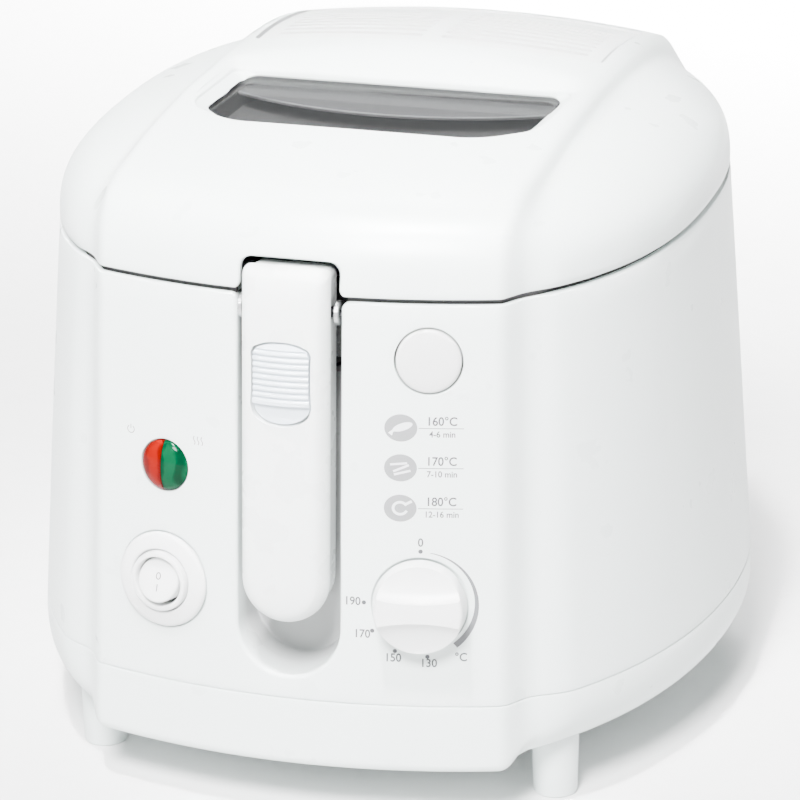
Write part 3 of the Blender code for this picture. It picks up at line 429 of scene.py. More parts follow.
def vary(tree, source, low, high, socket, *stops):
    """Drives a socket between two values with a noise or a wave."""
    tree.links.new(ramp(tree, source.outputs["Fac"], low, high, *stops), socket)


def add_bump(tree, shader, source, strength, distance):
    bump = add_node(tree, "Bump", Height=source.outputs["Fac"], Strength=strength, Distance=distance)
    tree.links.new(bump.outputs["Normal"], shader.inputs["Normal"])


def moulded(name, colour, roughness=0.34, grain=1400, bump=0.05, tint=0.02, **sockets):
    """Moulded plastic: a fine surface grain, slow drifts of tone and an uneven gloss."""
    made, tree, shader = node_material(name, colour, roughness, **sockets)
    slow, fine = add_noise(tree, 14, 2), add_noise(tree, grain, 2)
    dark = tuple(c * (1 - tint) for c in colour)
    vary(tree, slow, dark, colour, shader.inputs["Base Color"])
    gloss = add_noise(tree, 60, 3)
    vary(tree, gloss, roughness - 0.03, roughness + 0.04, shader.inputs["Roughness"])
    add_bump(tree, shader, fine, bump, 0.0002)
    return made


def metal(name, colour, roughness=0.28, stretch=(1, 1, 14), grain=900, bump=0.06):
    """Sheet or wire with a fine drawn grain."""
    made, tree, shader = node_material(name, colour, roughness, 1.0)
    lines, patches = add_noise(tree, grain, 2, stretch), add_noise(tree, 40, 3)
    dark = tuple(c * 0.86 for c in colour)
    vary(tree, patches, dark, colour, shader.inputs["Base Color"])
    vary(tree, lines, roughness - 0.06, roughness + 0.08, shader.inputs["Roughness"])
    add_bump(tree, shader, lines, bump, 0.0001)
    return made


def fibrous(name, colour, grain=700, bump=0.6):
    """Felt, foam or cast ceramic."""
    made, tree, shader = node_material(name, colour, 0.9)
    fine = add_noise(tree, grain, 5)
    dark = tuple(c * 0.6 for c in colour)
    vary(tree, fine, dark, colour, shader.inputs["Base Color"])
    add_bump(tree, shader, fine, bump, 0.0006)
    return made


def clear(name, colour, roughness, alpha=1.0, **sockets):
    """Clear or tinted glass or lens plastic with faint smears in its gloss."""
    made, tree, shader = node_material(name, colour, roughness, **sockets)
    shader.inputs["Alpha"].default_value = alpha
    smear = add_noise(tree, 30, 3)
    vary(tree, smear, roughness, roughness + 0.05, shader.inputs["Roughness"])
    return made


def lens(name, bright, dark):
    """Tinted lamp lens with upright prism ridges inside it, seen as streaks."""
    made, tree, shader = node_material(name, bright, 0.08, Specular_IOR_Level=0.07)
    place = add_node(tree, "TexCoord").outputs["Object"]
    wave = add_node(tree, "TexWave", Vector=place, Scale=48, Distortion=2.5, Detail_Scale=3)
    vary(tree, wave, dark, bright, shader.inputs["Base Color"], 0.1, 0.6)
    return made


def math_node(tree, operation, first, second=None):
    node = add_node(tree, "Math")
    node.operation = operation
    for socket, value in zip(node.inputs, (first, second)):
        if isinstance(value, bpy.types.NodeSocket):
            tree.links.new(value, socket)
        elif value is not None:
            socket.default_value = value
    return node.outputs["Value"]


def rise(tree, source, start, end):
    """0 below start, 1 above end."""
    return add_node(tree, "MapRange", Value=source, From_Min=start, From_Max=end).outputs["Result"]


def mix(tree, share, first, second):
    """First colour where share is 0, second where it is 1; first may be a link."""
    node = tree.nodes.new("ShaderNodeMix")
    node.data_type = "RGBA"
    tree.links.new(share, node.inputs["Factor"])
    tree.links.new(first, node.inputs["A"])
    node.inputs["B"].default_value = (*second, 1)
    return node.outputs["Result"]


def white_with_painted_shade(name):
    """The body's white with painted shade inside the handle's recess and painted near-black shadow in its
    deep top.
    """
    made = moulded(name, BODY_WHITE, 0.30)
    tree = made.node_tree
    shader = tree.nodes["Principled BSDF"]
    plain = shader.inputs["Base Color"].links[0].from_socket
    split = add_node(tree, "SeparateXYZ", Vector=add_node(tree, "TexCoord").outputs["Object"])
    lean = math_node(tree, "MULTIPLY", split.outputs["Z"], -FRONT_LEAN)
    depth = math_node(tree, "ADD", split.outputs["Y"], lean)
    depth = math_node(tree, "ADD", depth, FRONT_FACE + FRONT_LEAN * SEAM_LID)
    across = math_node(tree, "ABSOLUTE", split.outputs["X"])
    inside = math_node(tree, "LESS_THAN", across, RECESS_HALF + 0.0012)
    inside = math_node(tree, "MULTIPLY", inside, math_node(tree, "LESS_THAN", depth, 0.035))
    # Painted shade: the white turns grey with depth inside the handle's recess, and nearly black in its deep
    # top as painted shadow.
    shade = math_node(tree, "MULTIPLY", inside, rise(tree, depth, 0.0012, 0.0110))
    high, far = rise(tree, split.outputs["Z"], 0.135, 0.165), rise(tree, depth, 0.0020, 0.0060)
    deep = math_node(tree, "MULTIPLY", math_node(tree, "MULTIPLY", high, far), inside)
    shaded = mix(tree, deep, mix(tree, shade, plain, (0.40, 0.41, 0.41)), (0.02, 0.02, 0.02))
    tree.links.new(shaded, shader.inputs["Base Color"])
    return made


BODY_WHITE = (0.800, 0.862, 0.850)
M = {
    "white_plastic": moulded("body_white", BODY_WHITE, 0.30),
    "handle_white": moulded("handle_white", (0.835, 0.865, 0.858), 0.28),
    "slider_white": moulded("slider_white", (0.735, 0.800, 0.870), 0.30),
    "control_white": moulded("control_white", (0.840, 0.850, 0.850), 0.30),
    "button_grey": moulded("button_grey", (0.700, 0.705, 0.705), 0.38),
    "holder_white": moulded("holder_white", (0.40, 0.405, 0.40), 0.5),
    "cover_white": moulded("cover_white", (0.790, 0.820, 0.815), 0.36),
    "grey_plastic": moulded("collar_grey", (0.50, 0.51, 0.52), 0.5),
    "black_plastic": moulded("black_plastic", (0.02, 0.02, 0.022), 0.45),
    "rubber": moulded("seal_rubber", (0.20, 0.205, 0.205), 0.65, bump=0.12),
    "well_dark": moulded("well_dark", (0.048, 0.048, 0.048), 0.7, tint=0.2),
    "ledge_grey": moulded("ledge_grey", (0.082, 0.083, 0.085), 0.7),
    "ledge_painted_highlight": moulded("ledge_painted_highlight", (0.20, 0.203, 0.206), 0.5),
    "slot_shade": moulded("slot_shade", (0.15, 0.158, 0.158), 0.5),
    "gap_shade": moulded("gap_shade", (0.055, 0.054, 0.054), 0.6),
    "gap_painted_shade": moulded("gap_painted_shade", (0.085, 0.078, 0.077), 0.7, bump=0.1),
    "print": moulded("print_grey", (0.060, 0.062, 0.068), 0.45),
    "print_mid": moulded("print_mid", (0.125, 0.128, 0.135), 0.45),
    "print_badge": moulded("print_badge", (0.23, 0.233, 0.24), 0.45),
    "print_light": moulded("print_light", (0.74, 0.76, 0.77), 0.45),
    "steel": metal("bright_steel", (0.62, 0.63, 0.64)),
    "dark_steel": metal("pin_steel", (0.060, 0.060, 0.062), 0.35),
    "mesh_steel": metal("plated_wire", (0.66, 0.67, 0.68), 0.22),
    "aluminium": metal("rolled_aluminium", (0.72, 0.73, 0.74), 0.34, (1, 18, 1)),
    "element": metal("heater_sheath", (0.22, 0.20, 0.19), 0.5),
    "copper": metal("copper", (0.72, 0.38, 0.24), 0.3),
    "pan_coating": moulded("pan_coating", (0.045, 0.045, 0.05), 0.42, grain=2600, bump=0.35, tint=0.3),
    "ceramic": fibrous("ceramic", (0.72, 0.69, 0.62), bump=0.15),
    "charcoal": fibrous("charcoal_foam", (0.03, 0.03, 0.03)),
    "felt": fibrous("filter_felt", (0.30, 0.30, 0.29)),
    "window_glass": clear("window_glass", (0.03, 0.031, 0.032), 0.03, 0.25, Specular_IOR_Level=0.35),
    "lens_red": lens("lens_red", (0.160, 0.0020, 0.0004), (0.085, 0.0010, 0.0002)),
    "lens_green": lens("lens_green", (0.0002, 0.042, 0.017), (0.0001, 0.020, 0.008)),
    "housing_white_painted_shade": white_with_painted_shade("housing_white_painted_shade"),
}


def dress_cad_nodes():
    """Every CAD node takes the node material of its slot; the ones that are replaced are hidden later."""
    slots = {row["node"]: row["material_slot"] for row in frame["record"]["subparts"]}
    for node, obj in frame["nodes"].items():
        obj.data.materials.clear()
        obj.data.materials.append(M[slots[node]])


# ---- housing, tray and feet ------------------------------------------------------------
def face_cutter(name, outline, rows):
    """A cutter through the front face, from (depth, grow) rows; outline(grow, depth) gives (x, z) points."""
    return lofted(name, [[(x, float(front_face_y(x, z)) + depth, z) for x, z in outline(grow, max(depth, 0))]
                         for depth, grow in rows])


def flare(radius, steps=6, start=14):
    """(depth, grow) rows of a cutter that leaves a rounded edge where it meets a face."""
    rows = []
    for i in range(steps + 1):
        turn = math.radians(start + (90 - start) * i / steps)
        rows.append((radius - radius * math.cos(turn), radius - radius * math.sin(turn)))
    lead = math.tan(math.radians(90 - start)) * 0.0004
    return [(-0.02, rows[0][1] + lead), (rows[0][0] - 0.0004, rows[0][1] + lead)] + rows


def toe(depth, radius, steps=5):
    """(depth, grow) rows that round the far end of a cutter."""
    return [(depth - radius + radius * math.sin(t), -radius + radius * math.cos(t))
            for t in (math.radians(90 * i / steps) for i in range(steps + 1))]


def arc(centre, radius, start, end, steps):
    turns = [math.radians(start + (end - start) * i / steps) for i in range(steps + 1)]
    return [(centre[0] + radius * math.cos(t), centre[1] + radius * math.sin(t)) for t in turns]


def recess_outline(grow, depth):
    """Half-round at the bottom, drafted with depth, and flared where it meets the rim."""
    half = RECESS_HALF + grow - 0.02 * depth
    points = arc((0, RECESS_FLOOR + RECESS_HALF + 0.10 * depth), half, 180, 360, 40)
    corner = 0.0026
    heights = [0.10, 0.13, 0.16]
    heights += [RIM_TOP - corner * (1 - math.sin(math.radians(a))) for a in range(0, 91, 15)]
    side = []
    for z in heights:
        near = max(0.0, 1 - (RIM_TOP - z) / corner)
        side.append((half + corner * (1 - math.sqrt(max(0.0, 1 - near**2))), z))
    side.append((half + corner, 0.2))
    return points + side + [(-x, z) for x, z in reversed(side)]


def make_housing():
    heights = [SEAM_BASE + d for d in (0.00015, 0.00025, 0.0007, 0.0030)]
    heights += [*np.linspace(0.052, 0.176, 18), RIM_TOP - 0.0013, RIM_TOP - 0.0004, RIM_TOP]
    insets = [0.0004, 0.0001, *[0] * 21, 0.0003, 0.0012]
    outer = form_rings(heights, [0] * len(heights), insets)
    inner_heights = [RIM_TOP, 0.15, 0.11, 0.07, SEAM_BASE + 0.00015]
    inner = form_rings(inner_heights, [0] * 5, [WALL] * 5)
    shell = lofted("housing_shell", np.concatenate([outer, inner]), M["housing_white_painted_shade"], wrap=True)
    liner = face_cutter("liner", liner_outline, [(0.0012, 0), (0.0215, 0)])
    outer_half, inner_half = RECESS_HALF + 0.0022, RECESS_HALF - 0.0004
    pocket = box("pocket_block", (-outer_half, -0.1270, 0.1500), (outer_half, -0.1008, RIM_TOP - 0.0008))
    recess = face_cutter("recess", recess_outline, flare(0.0014) + toe(RECESS_DEPTH - 0.0005, 0.0009))
    behind = box("recess_pocket", (-inner_half, -0.1240, 0.1530), (inner_half, -0.1030, 0.2))
    tools = [recess, behind]
    for name, at, radius, edge in (
        ("lamp_hole", LAMP_AT, LAMP_R + 0.0003, 0.0004), ("switch_hole", SWITCH_AT, 0.0125, 0.0003),
        ("button_hole", BUTTON_AT, BUTTON_R + 0.0005, 0.0006), ("knob_hole", KNOB_AT, 0.0045, 0.0003),
    ):
        rows = [(radius + edge + 0.004, 0.004), (radius + edge, 0.0001)]
        for t in np.radians((20, 45, 70, 90)):
            rows.append((radius + edge * (1 - math.sin(t)), -edge * (1 - math.cos(t))))
        rows.append((radius, -0.02))
        tools.append(turned(name, rows, None, face_frame(at), 64))
    groove = [(SWITCH_R + 0.0005, 0.004), (SWITCH_R + 0.0005, -0.0012), (SWITCH_R - 0.001, -0.0012),
              (SWITCH_R - 0.001, 0.004), (SWITCH_R + 0.0005, 0.004)]
    tools.append(turned("switch_groove", groove, None, face_frame(SWITCH_AT), 96))
    well = [(AXIS, 0.006), (KNOB_R + 0.0005, 0.006), (KNOB_R + 0.0005, -0.0016), (AXIS, -0.0016)]
    tools.append(turned("knob_well", well, None, face_frame(KNOB_AT), 96))
    ears = [hinge_block(f"ear_{x}", x / 1000, 0.005, [(0.1290, 0.1600), (0.1345, 0.1640)], (-30, 180),
                        [(0.1335, 0.1822), (0.1290, 0.1822)]) for x in (-54, -32, 32, 54)]
    cut_all(shell, tools, unions=[liner, pocket, *ears])
    finish_piece(shell, "case", "white_plastic", "housing")


def liner_outline(grow, _depth):
    half, floor = RECESS_HALF + 0.0030 + grow, RECESS_FLOOR - 0.0020
    points = arc((0, floor + half), half, 180, 360, 24)
    return points + [(half, RIM_TOP - 0.0010), (-half, RIM_TOP - 0.0010)]


def hinge_block(name, x, width, below, turn, above):
    """A knuckle of the lid hinge: (y, z) points below, an arc round the pin, then points above."""
    low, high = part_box("hinge_pin_left")
    outline = below + arc(((low.y + high.y) / 2, (low.z + high.z) / 2), 0.0045, *turn, 18) + above
    return lofted(name, [[(x + side * width / 2, y, z) for y, z in outline] for side in (-1, 1)])


def make_base_tray():
    heights = [0.0118, 0.0126, 0.0136, 0.0148, 0.0162, 0.0176, 0.0186, 0.0192, 0.0197, 0.0202, 0.0208, 0.0216]
    heights += [0.0228, *np.linspace(0.0245, SEAM_BASE - 0.0012, 12), SEAM_BASE - 0.0004, SEAM_BASE - 0.00015]
    insets = [0] * (len(heights) - 2) + [0.0001, 0.0004]
    outer = form_rings(heights, [0] * len(heights), insets)
    inner_heights = [SEAM_BASE - 0.00015, 0.034, 0.026, 0.0205, TRAY_FLOOR]
    inner = form_rings(inner_heights, [0] * 5, [WALL] * 5)
    tray = lofted("tray_shell", np.concatenate([outer, inner]), M["white_plastic"])
    hole = [(0.0089, 0.045), (0.0089, 0.002)]
    cut_all(tray, [turned(f"hole_{name}", hole, None, foot_place(name), 48) for name in FEET])
    finish_piece(tray, "case", "white_plastic", "base_tray")


def foot_place(name):
    """Frame on the floor under the middle of a CAD foot."""
    low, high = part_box(name)
    return Matrix.Translation(((low.x + high.x) / 2, (low.y + high.y) / 2, 0))


def make_feet():
    profile = [(AXIS, 0.0328), (0.0082, 0.0328), (0.0080, 0.0160), (0.0078, 0.0080), (0.0076, 0.0010),
               (0.0073, 0.0003), (0.0067, 0.0), (AXIS, 0.0)]
    for name in FEET:
        foot = turned(f"{name}_post", profile, M["white_plastic"], foot_place(name), 64)
        finish_piece(foot, "case", "white_plastic", name)


# ---- lid -------------------------------------------------------------------------------
def window_outline(splay, grow=0.0):
    """Closed outline of the window: chamfered in front, rounded behind. A splay of 1 is its top."""
    side = WINDOW_HALF - 0.0005 + 0.0040 * splay + grow
    front, rear = WINDOW_FRONT - 0.0018 * splay - grow, WINDOW_REAR + 0.0045 + grow
    bevel = WINDOW_CHAMFER_HALF + 0.0012 + grow * 0.6
    turn = front + WINDOW_CHAMFER
    corners = [(-bevel, front), (bevel, front), (side, turn), (side, rear), (-side, rear), (-side, turn)]
    radii = (0.026, 0.026, 0.014, 0.0050, 0.0050, 0.014)
    points = []
    for i, (corner_at, radius) in enumerate(zip(corners, radii)):
        points += fillet(corner_at, corners[i - 1], corners[(i + 1) % 6], radius, 8)
    return points


def window_surface(x, y):
    """Height of the lid's top surface at one point."""
    return float(band_top_height(np.float64(x), np.float64(y)))


def notch_outline(grow, _depth):
    """The lid's notch over the handle: round upper corners, and flared where it meets the seam."""
    half, top, corner, foot = NOTCH_HALF + grow, NOTCH_TOP + grow, 0.0042, 0.0024
    right = [(half + 0.02, 0.16), (half + 0.02, SEAM_LID - 0.0006)]
    right += [(half + foot * (1 - math.cos(t)), SEAM_LID + foot * (1 - math.sin(t)))
              for t in np.radians((90, 75, 60, 45, 30, 15, 0))]
    right += arc((half - corner, top - corner), corner, 0, 90, 8)
    return right + [(-x, z) for x, z in reversed(right)]


def make_lid_shell():
    elevations = spread((1.2, 0.8), (12, 0.45), (36, 0.8), (60, 2.0), 82)
    heights = [SEAM_LID, SEAM_LID + 0.0003, SEAM_LID + 0.0011] + [SEAM_LID] * len(elevations)
    outer = form_rings(heights, [0, 0, 0] + elevations, [0.0011, 0.0003] + [0] * (len(elevations) + 1))
    below = list(reversed(spread((0, 2.0), (14, 1.5), (38, 3.0), 82)))
    inner = form_rings([SEAM_LID] * len(below), below, [WALL] * len(below))
    shell = lofted("lid_cover", np.concatenate([inner, outer]), M["white_plastic"])
    lip = [(0.0008 * (1 - math.cos(t)), 0.0008 * (1 - math.sin(t))) for t in np.radians((12, 35, 60, 90))]
    rows = [(-0.004, 1, 0.0022), (-0.0003, 1, 0.0018)] + [(depth, 1, grow) for depth, grow in lip]
    rows += [(0.0020, 0, 0), (0.012, 0, 0)]
    rings = [[(x, y, window_surface(x, y) - depth) for x, y in window_outline(splay, grow)]
             for depth, splay, grow in rows]
    window = lofted("window_hole", rings)
    half, front, rear = FILTER_HALF + 0.0010, FILTER_FRONT - 0.0006, FILTER_REAR + 0.0006
    vent = upright("filter_hole", cover_outline(half, front, rear), 0.19, 0.24)
    notch = face_cutter("notch", notch_outline, flare(0.0010, 5) + [(0.026, 0)])
    lugs = [hinge_block(f"lug_{side}", side * 0.043, 0.0160, [(0.1285, 0.1862), (0.1340, 0.1850)], (-90, 90),
                        [(0.1340, 0.1925), (0.1285, 0.1960)]) for side in (-1, 1)]
    catch = box("catch", (0.0418, -0.1202, 0.1772), (0.0518, -0.1180, 0.1985))
    eye = box("eye", (0.0433, -0.13, 0.1786), (0.0503, -0.11, 0.1826))
    cut_all(shell, [window, vent, notch, eye], unions=[*lugs, catch])
    # Painted shade on the upright walls of the filter opening.
    shade_walls(shell, (-half - 0.0003, front - 0.0003), (half + 0.0003, rear + 0.0003), M["gap_shade"])
    finish_piece(shell, "lid", "white_plastic", "lid_shell")


def make_gap_shade_strip():
    """Dark strip inside the lid's edge, painted shade seen through the gap between lid and housing."""
    heights = (0.1818, 0.1880)
    outer, inner = form_rings(heights, [0, 0], [0.0034] * 2), form_rings(heights[::-1], [0, 0], [0.0046] * 2)
    strip = lofted("gap_shade_strip", np.concatenate([outer, inner]), M["gap_painted_shade"], wrap=True)
    half = NOTCH_HALF + 0.0020
    front = box("gap_front", (-half, -0.15, 0.17), (half, -0.10, 0.20))
    rear = box("gap_rear", (-0.058, 0.11, 0.17), (0.058, 0.15, 0.20))
    cut_all(strip, [front, rear])
    finish_piece(strip, "lid", "rubber")


def under_window(rows):
    """Rings that follow the window's outline, from (depth, grow) rows."""
    return [[(x, y, window_surface(0, y) - depth) for x, y in window_outline(0, grow)]
            for depth, grow in rows]


def make_window():
    """Glass just under the lid's surface, over a ledge with a bowed front edge and a dark well."""
    rings = under_window([(depth, -0.0003) for depth in GLASS_DEPTHS])
    pane = lofted("window_pane", rings, M["window_glass"])
    finish_piece(pane, "lid", "window_glass", "window_glass")
    top, bottom = WELL_DEPTHS
    rings = under_window([(top, 0.0030), (top, -0.0006), (bottom, -0.0014), (bottom, 0.0030)])
    finish_piece(lofted("window_well", rings, M["well_dark"], wrap=True), "lid", "rubber", "window_seal")
    rear, half = WINDOW_REAR + 0.0055, WINDOW_HALF + 0.0010
    rings, rim = [], []
    for x in np.linspace(-half, half, 49):
        edge = LEDGE_FRONT + LEDGE_RADIUS - math.sqrt(LEDGE_RADIUS**2 - x * x)
        level = window_surface(0, edge) - LEDGE_DEPTH
        slope = DISH_TILT * (rear - edge)
        rings.append([(x, rear, level + slope), (x, edge + 0.0012, level), (x, edge + 0.0004, level - 0.0002),
                      (x, edge, level - 0.0006), (x, edge + 0.0003, level - 0.0012),
                      (x, rear, level + slope - 0.0012)])
        rim.append((x, edge + 0.0004, level - 0.0002))
    finish_piece(lofted("window_ledge", rings, M["ledge_grey"]), "lid", "rubber")
    # Painted highlight: a lighter line along the ledge's rounded front edge.
    finish_piece(tube("window_ledge_painted_highlight", [rim], 0.00028, M["ledge_painted_highlight"], 8), "lid", "rubber")
    floor = lofted("window_floor", under_window([(depth, 0.0010) for depth in FLOOR_DEPTHS]), M["well_dark"])
    finish_piece(floor, "lid", "rubber")


def shade_walls(obj, low, high, finish):
    """Gives the upright faces inside a rectangle in plan a darker finish: painted shade in the depth of a
    slot or gap.
    """
    obj.data.materials.append(finish)
    for face in obj.data.polygons:
        x, y, _ = face.center
        if abs(face.normal.z) < 0.6 and low[0] < x < high[0] and low[1] < y < high[1]:
            face.material_index = 1


def cover_outline(half, front, rear, corner=0.0028):
    corners = [(half, front), (half, rear), (-half, rear), (-half, front)]
    points = []
    for i, at in enumerate(corners):
        points += fillet(at, corners[i - 1], corners[(i + 1) % 4], corner, 6)
    return points


def make_filter_cover():
    """A cover that follows the lid's top, with two fields of slots either side of a rib."""
    half, front, rear = FILTER_HALF, FILTER_FRONT, FILTER_REAR
    us = np.concatenate([[-1, -0.996, -0.988], np.linspace(-0.97, 0.97, 52), [0.988, 0.996, 1]])
    vs = np.concatenate([[0, 0.004, 0.012], np.linspace(0.03, 0.97, 30), [0.988, 0.996, 1]])
    edge = 0.0007

    def top(u, v):
        x, y = u * half, front + v * (rear - front)
        lip = min((1 - abs(u)) * half, v * (rear - front), (1 - v) * (rear - front))
        drop = edge - math.sqrt(max(0.0, edge**2 - max(0.0, edge - lip) ** 2))
        return x, y, window_surface(x, y) - drop - 0.0005

    under = [top(u * 0.999, min(max(v, 0.001), 0.999)) for v in vs for u in us]
    points = [top(u, v) for v in vs for u in us] + [(x, y, z - 0.0024) for x, y, z in under]
    cols, rows, size = len(us), len(vs), len(us) * len(vs)
    faces = []
    for a in (j * cols + i for j in range(rows - 1) for i in range(cols - 1)):
        faces.append((a, a + 1, a + cols + 1, a + cols))
        faces.append((size + a, size + a + cols, size + a + cols + 1, size + a + 1))
    rim = list(range(cols)) + [j * cols + cols - 1 for j in range(1, rows)]
    rim += [(rows - 1) * cols + i for i in range(cols - 2, -1, -1)]
    rim += [j * cols for j in range(rows - 2, 0, -1)]
    faces += [(a, size + a, size + b, b) for a, b in zip(rim, rim[1:] + rim[:1])]
    cover = add_mesh("filter_cover_panel", points, faces, M["cover_white"])
    slots = []
    for side in (-1, 1):
        for row in range(8):
            y = front + 0.0075 + row * 0.0056
            left, right = sorted((side * 0.0048, side * 0.0565))
            outline = arc((right, y), 0.0015, -90, 90, 5) + arc((left, y), 0.0015, 90, 270, 5)
            slots.append(upright(f"slot_{side}_{row}", outline, 0.20, 0.24))
    trim = 0.00001
    corners = upright("corners", cover_outline(half - trim, front + trim, rear - trim), 0.19, 0.24)
    cut_with(cover, corners, "INTERSECT")
    cut_all(cover, slots)
    # Painted shade on the upright walls of the slots.
    shade_walls(cover, (-half + 0.002, front + 0.002), (half - 0.002, rear - 0.002), M["slot_shade"])
    finish_piece(cover, "filter_door", "cover_white", "filter_cover")


# ---- handle group ----------------------------------------------------------------------
def handle_outline(grow, corner=0.0034):
    """Front view in the leaning frame: half-round at the bottom and round corners at the top."""
    half = HANDLE_HALF + grow
    bottom, top = HANDLE_BOTTOM - SEAM_LID, HANDLE_TOP - SEAM_LID + grow
    corner = max(corner + 0.6 * grow, 0.0012)
    corner = min(corner, half * 0.98)
    points = arc((0, bottom + HANDLE_HALF), half, 180, 360, 36)
    side = [-0.085, -0.06, -0.04, -0.02, -0.008]
    points += [(half, z) for z in side]
    points += arc((half - corner, top - corner), corner, 0, 90, 8)
    points += arc((-half + corner, top - corner), corner, 90, 180, 8)
    return points + [(-half, z) for z in reversed(side)]


def handle_front(x, z):
    """Depth of the front: a crown across it, and the roll back at the top and the bottom end."""
    crown = 0.0017 * (1 - (x / HANDLE_HALF) ** 2)
    roll = 0.0024 * (max(0.0, z + 0.0040) / 0.0132) ** 2
    tail = 0.0022 * (max(0.0, HANDLE_BOTTOM - SEAM_LID + 0.016 - z) / 0.016) ** 2
    return -crown + roll + tail


def shield(grow):
    """Outline of the slider: bowed top, faint waist and a deep round bottom."""
    half, top, bottom = SLIDER_HALF + grow, SLIDER_TOP - SEAM_LID + grow, SLIDER_BOTTOM - SEAM_LID - grow
    points = []
    for i in range(25):
        s = -1 + 2 * i / 24
        points.append((half * s * 0.985, top - 0.0030 * abs(s) ** 2.6 - (0.0012 if abs(s) == 1 else 0)))
    for z in (top - 0.007, top - 0.012, top - 0.017):
        points.append((half * 0.965, z))
    for i in range(33):
        s = 1 - 2 * i / 32
        points.append((half * s, bottom + 0.0070 * (1 - (1 - abs(s) ** 2.2) ** 0.5)))
    for z in (top - 0.017, top - 0.012, top - 0.007):
        points.append((-half * 0.965, z))
    return points


def shield_prism(name, grow, back):
    return lofted(name, [[(x, y, z) for x, z in shield(grow)] for y in (-0.02, back)], None, LEAN)


def make_handle():
    edge, deep, wide = 0.0010, 0.0060, 0.0040
    rows = [(HANDLE_BACK, -0.0020), (HANDLE_BACK - 0.0008, -0.0012), (0.0, -0.0009), (-edge, 0.0)]
    rows += [(-edge - deep * math.sin(t), -wide * (1 - math.cos(t))) for t in np.radians(range(9, 88, 9))]
    rows += [(-edge - deep, -g / 1000) for g in (4.8, 6.0, 7.5, 9.0, 10.5, 12.0, 13.5, 14.8)]
    rings = []
    for depth, grow in rows:
        share = min(max(-depth / (edge + deep), 0.0), 1.0) ** 2
        rings.append([(x, depth + share * handle_front(x, z), z) for x, z in handle_outline(grow)])
    handle = lofted("handle_grip", rings, M["handle_white"], LEAN)
    pocket = shield_prism("pocket", 0.0007, -0.0030)
    bore = turned("bore", [(0.0023, 0.03), (0.0023, -0.03)], None, AXLE, 32)
    hollow = box("hollow", (-0.0115, 0.0040, 0.100 - SEAM_LID), (0.0115, 0.02, 0.168 - SEAM_LID), LEAN)
    cut_all(handle, [pocket, bore, hollow])
    finish_piece(handle, "handle", "handle_white", "basket_handle")


def make_slider():
    """Ribbed thumb slider: a ribbed field, a ledge below it and a smooth lower lip."""
    top, bottom = SLIDER_TOP - SEAM_LID, SLIDER_BOTTOM - SEAM_LID
    face = -0.0088
    profile = [(bottom - 0.002, face + 0.0016), (bottom + 0.0060, face + 0.0012)]
    profile += [(bottom + 0.0068, face - 0.0004)]
    ribs, pitch = 9, 0.00205
    start = bottom + 0.0072
    for k in range(ribs):
        z = start + k * pitch
        profile += [(z, face - 0.0003), (z + 0.30 * pitch, face - 0.0006), (z + 0.58 * pitch, face - 0.0004),
                    (z + 0.78 * pitch, face + 0.0005)]
    profile += [(start + ribs * pitch, face - 0.0002), (top - 0.001, face + 0.0001)]
    profile += [(top + 0.002, face + 0.0005)]
    xs = np.linspace(-0.0115, 0.0115, 15)
    rings = [[(x, y + 0.0012 * (x / SLIDER_HALF) ** 2, z) for z, y in profile]
             + [(x, -0.0034, top + 0.002), (x, -0.0034, bottom - 0.002)] for x in xs]
    slider = lofted("slider_button", rings, M["slider_white"], LEAN)
    cut_with(slider, shield_prism("prism", 0, -0.002), "INTERSECT")
    smoothed(slider, 50)
    finish_piece(slider, "handle_slider", "slider_white", "release_slider")


def make_handle_pin():
    end = 0.0162
    half = [(AXIS, end), (0.0010, end), (0.0012, end - 0.0005), (0.0015, end - 0.0005)]
    half += [(0.0018, end - 0.0001)]
    profile = half + [(r, -z) for r, z in reversed(half)]
    pin = turned("handle_axle", profile, M["dark_steel"], AXLE, 40)
    finish_piece(pin, "case", "steel", "handle_pin")


# ---- controls --------------------------------------------------------------------------
def make_knob():
    """A flat disc with a scoop either side of the grip bar."""
    place = face_frame(KNOB_AT)
    profile = rounded([(AXIS, KNOB_H), (KNOB_R - 0.0012, KNOB_H), (KNOB_R, -0.0004), (AXIS, -0.0004)], 0.0010)
    knob = turned("knob_cap", profile, M["control_white"], place, 128)
    scoop, half_bar, middle = 0.0110, 0.0028, KNOB_H + 0.0016
    turns = np.linspace(0, 2 * math.pi, 64, endpoint=False)
    for side in (-1, 1):
        rings = []
        for x in np.linspace(-0.02, 0.02, 33):
            bow = 0.0021 * (abs(x) / KNOB_R) ** 2
            centre = half_bar + bow + scoop
            rings.append([(x, side * (centre + scoop * math.cos(t)), middle + 0.52 * scoop * math.sin(t))
                          for t in turns])
        cut_with(knob, lofted(f"scoop_{side}", rings, None, place))
    socket = turned("socket", [(0.0033, 0.0062), (0.0033, -0.004)], None, place, 32)
    cut_all(knob, [socket], smooth=40)
    finish_piece(knob, "knob", "control_white", "thermostat_knob")


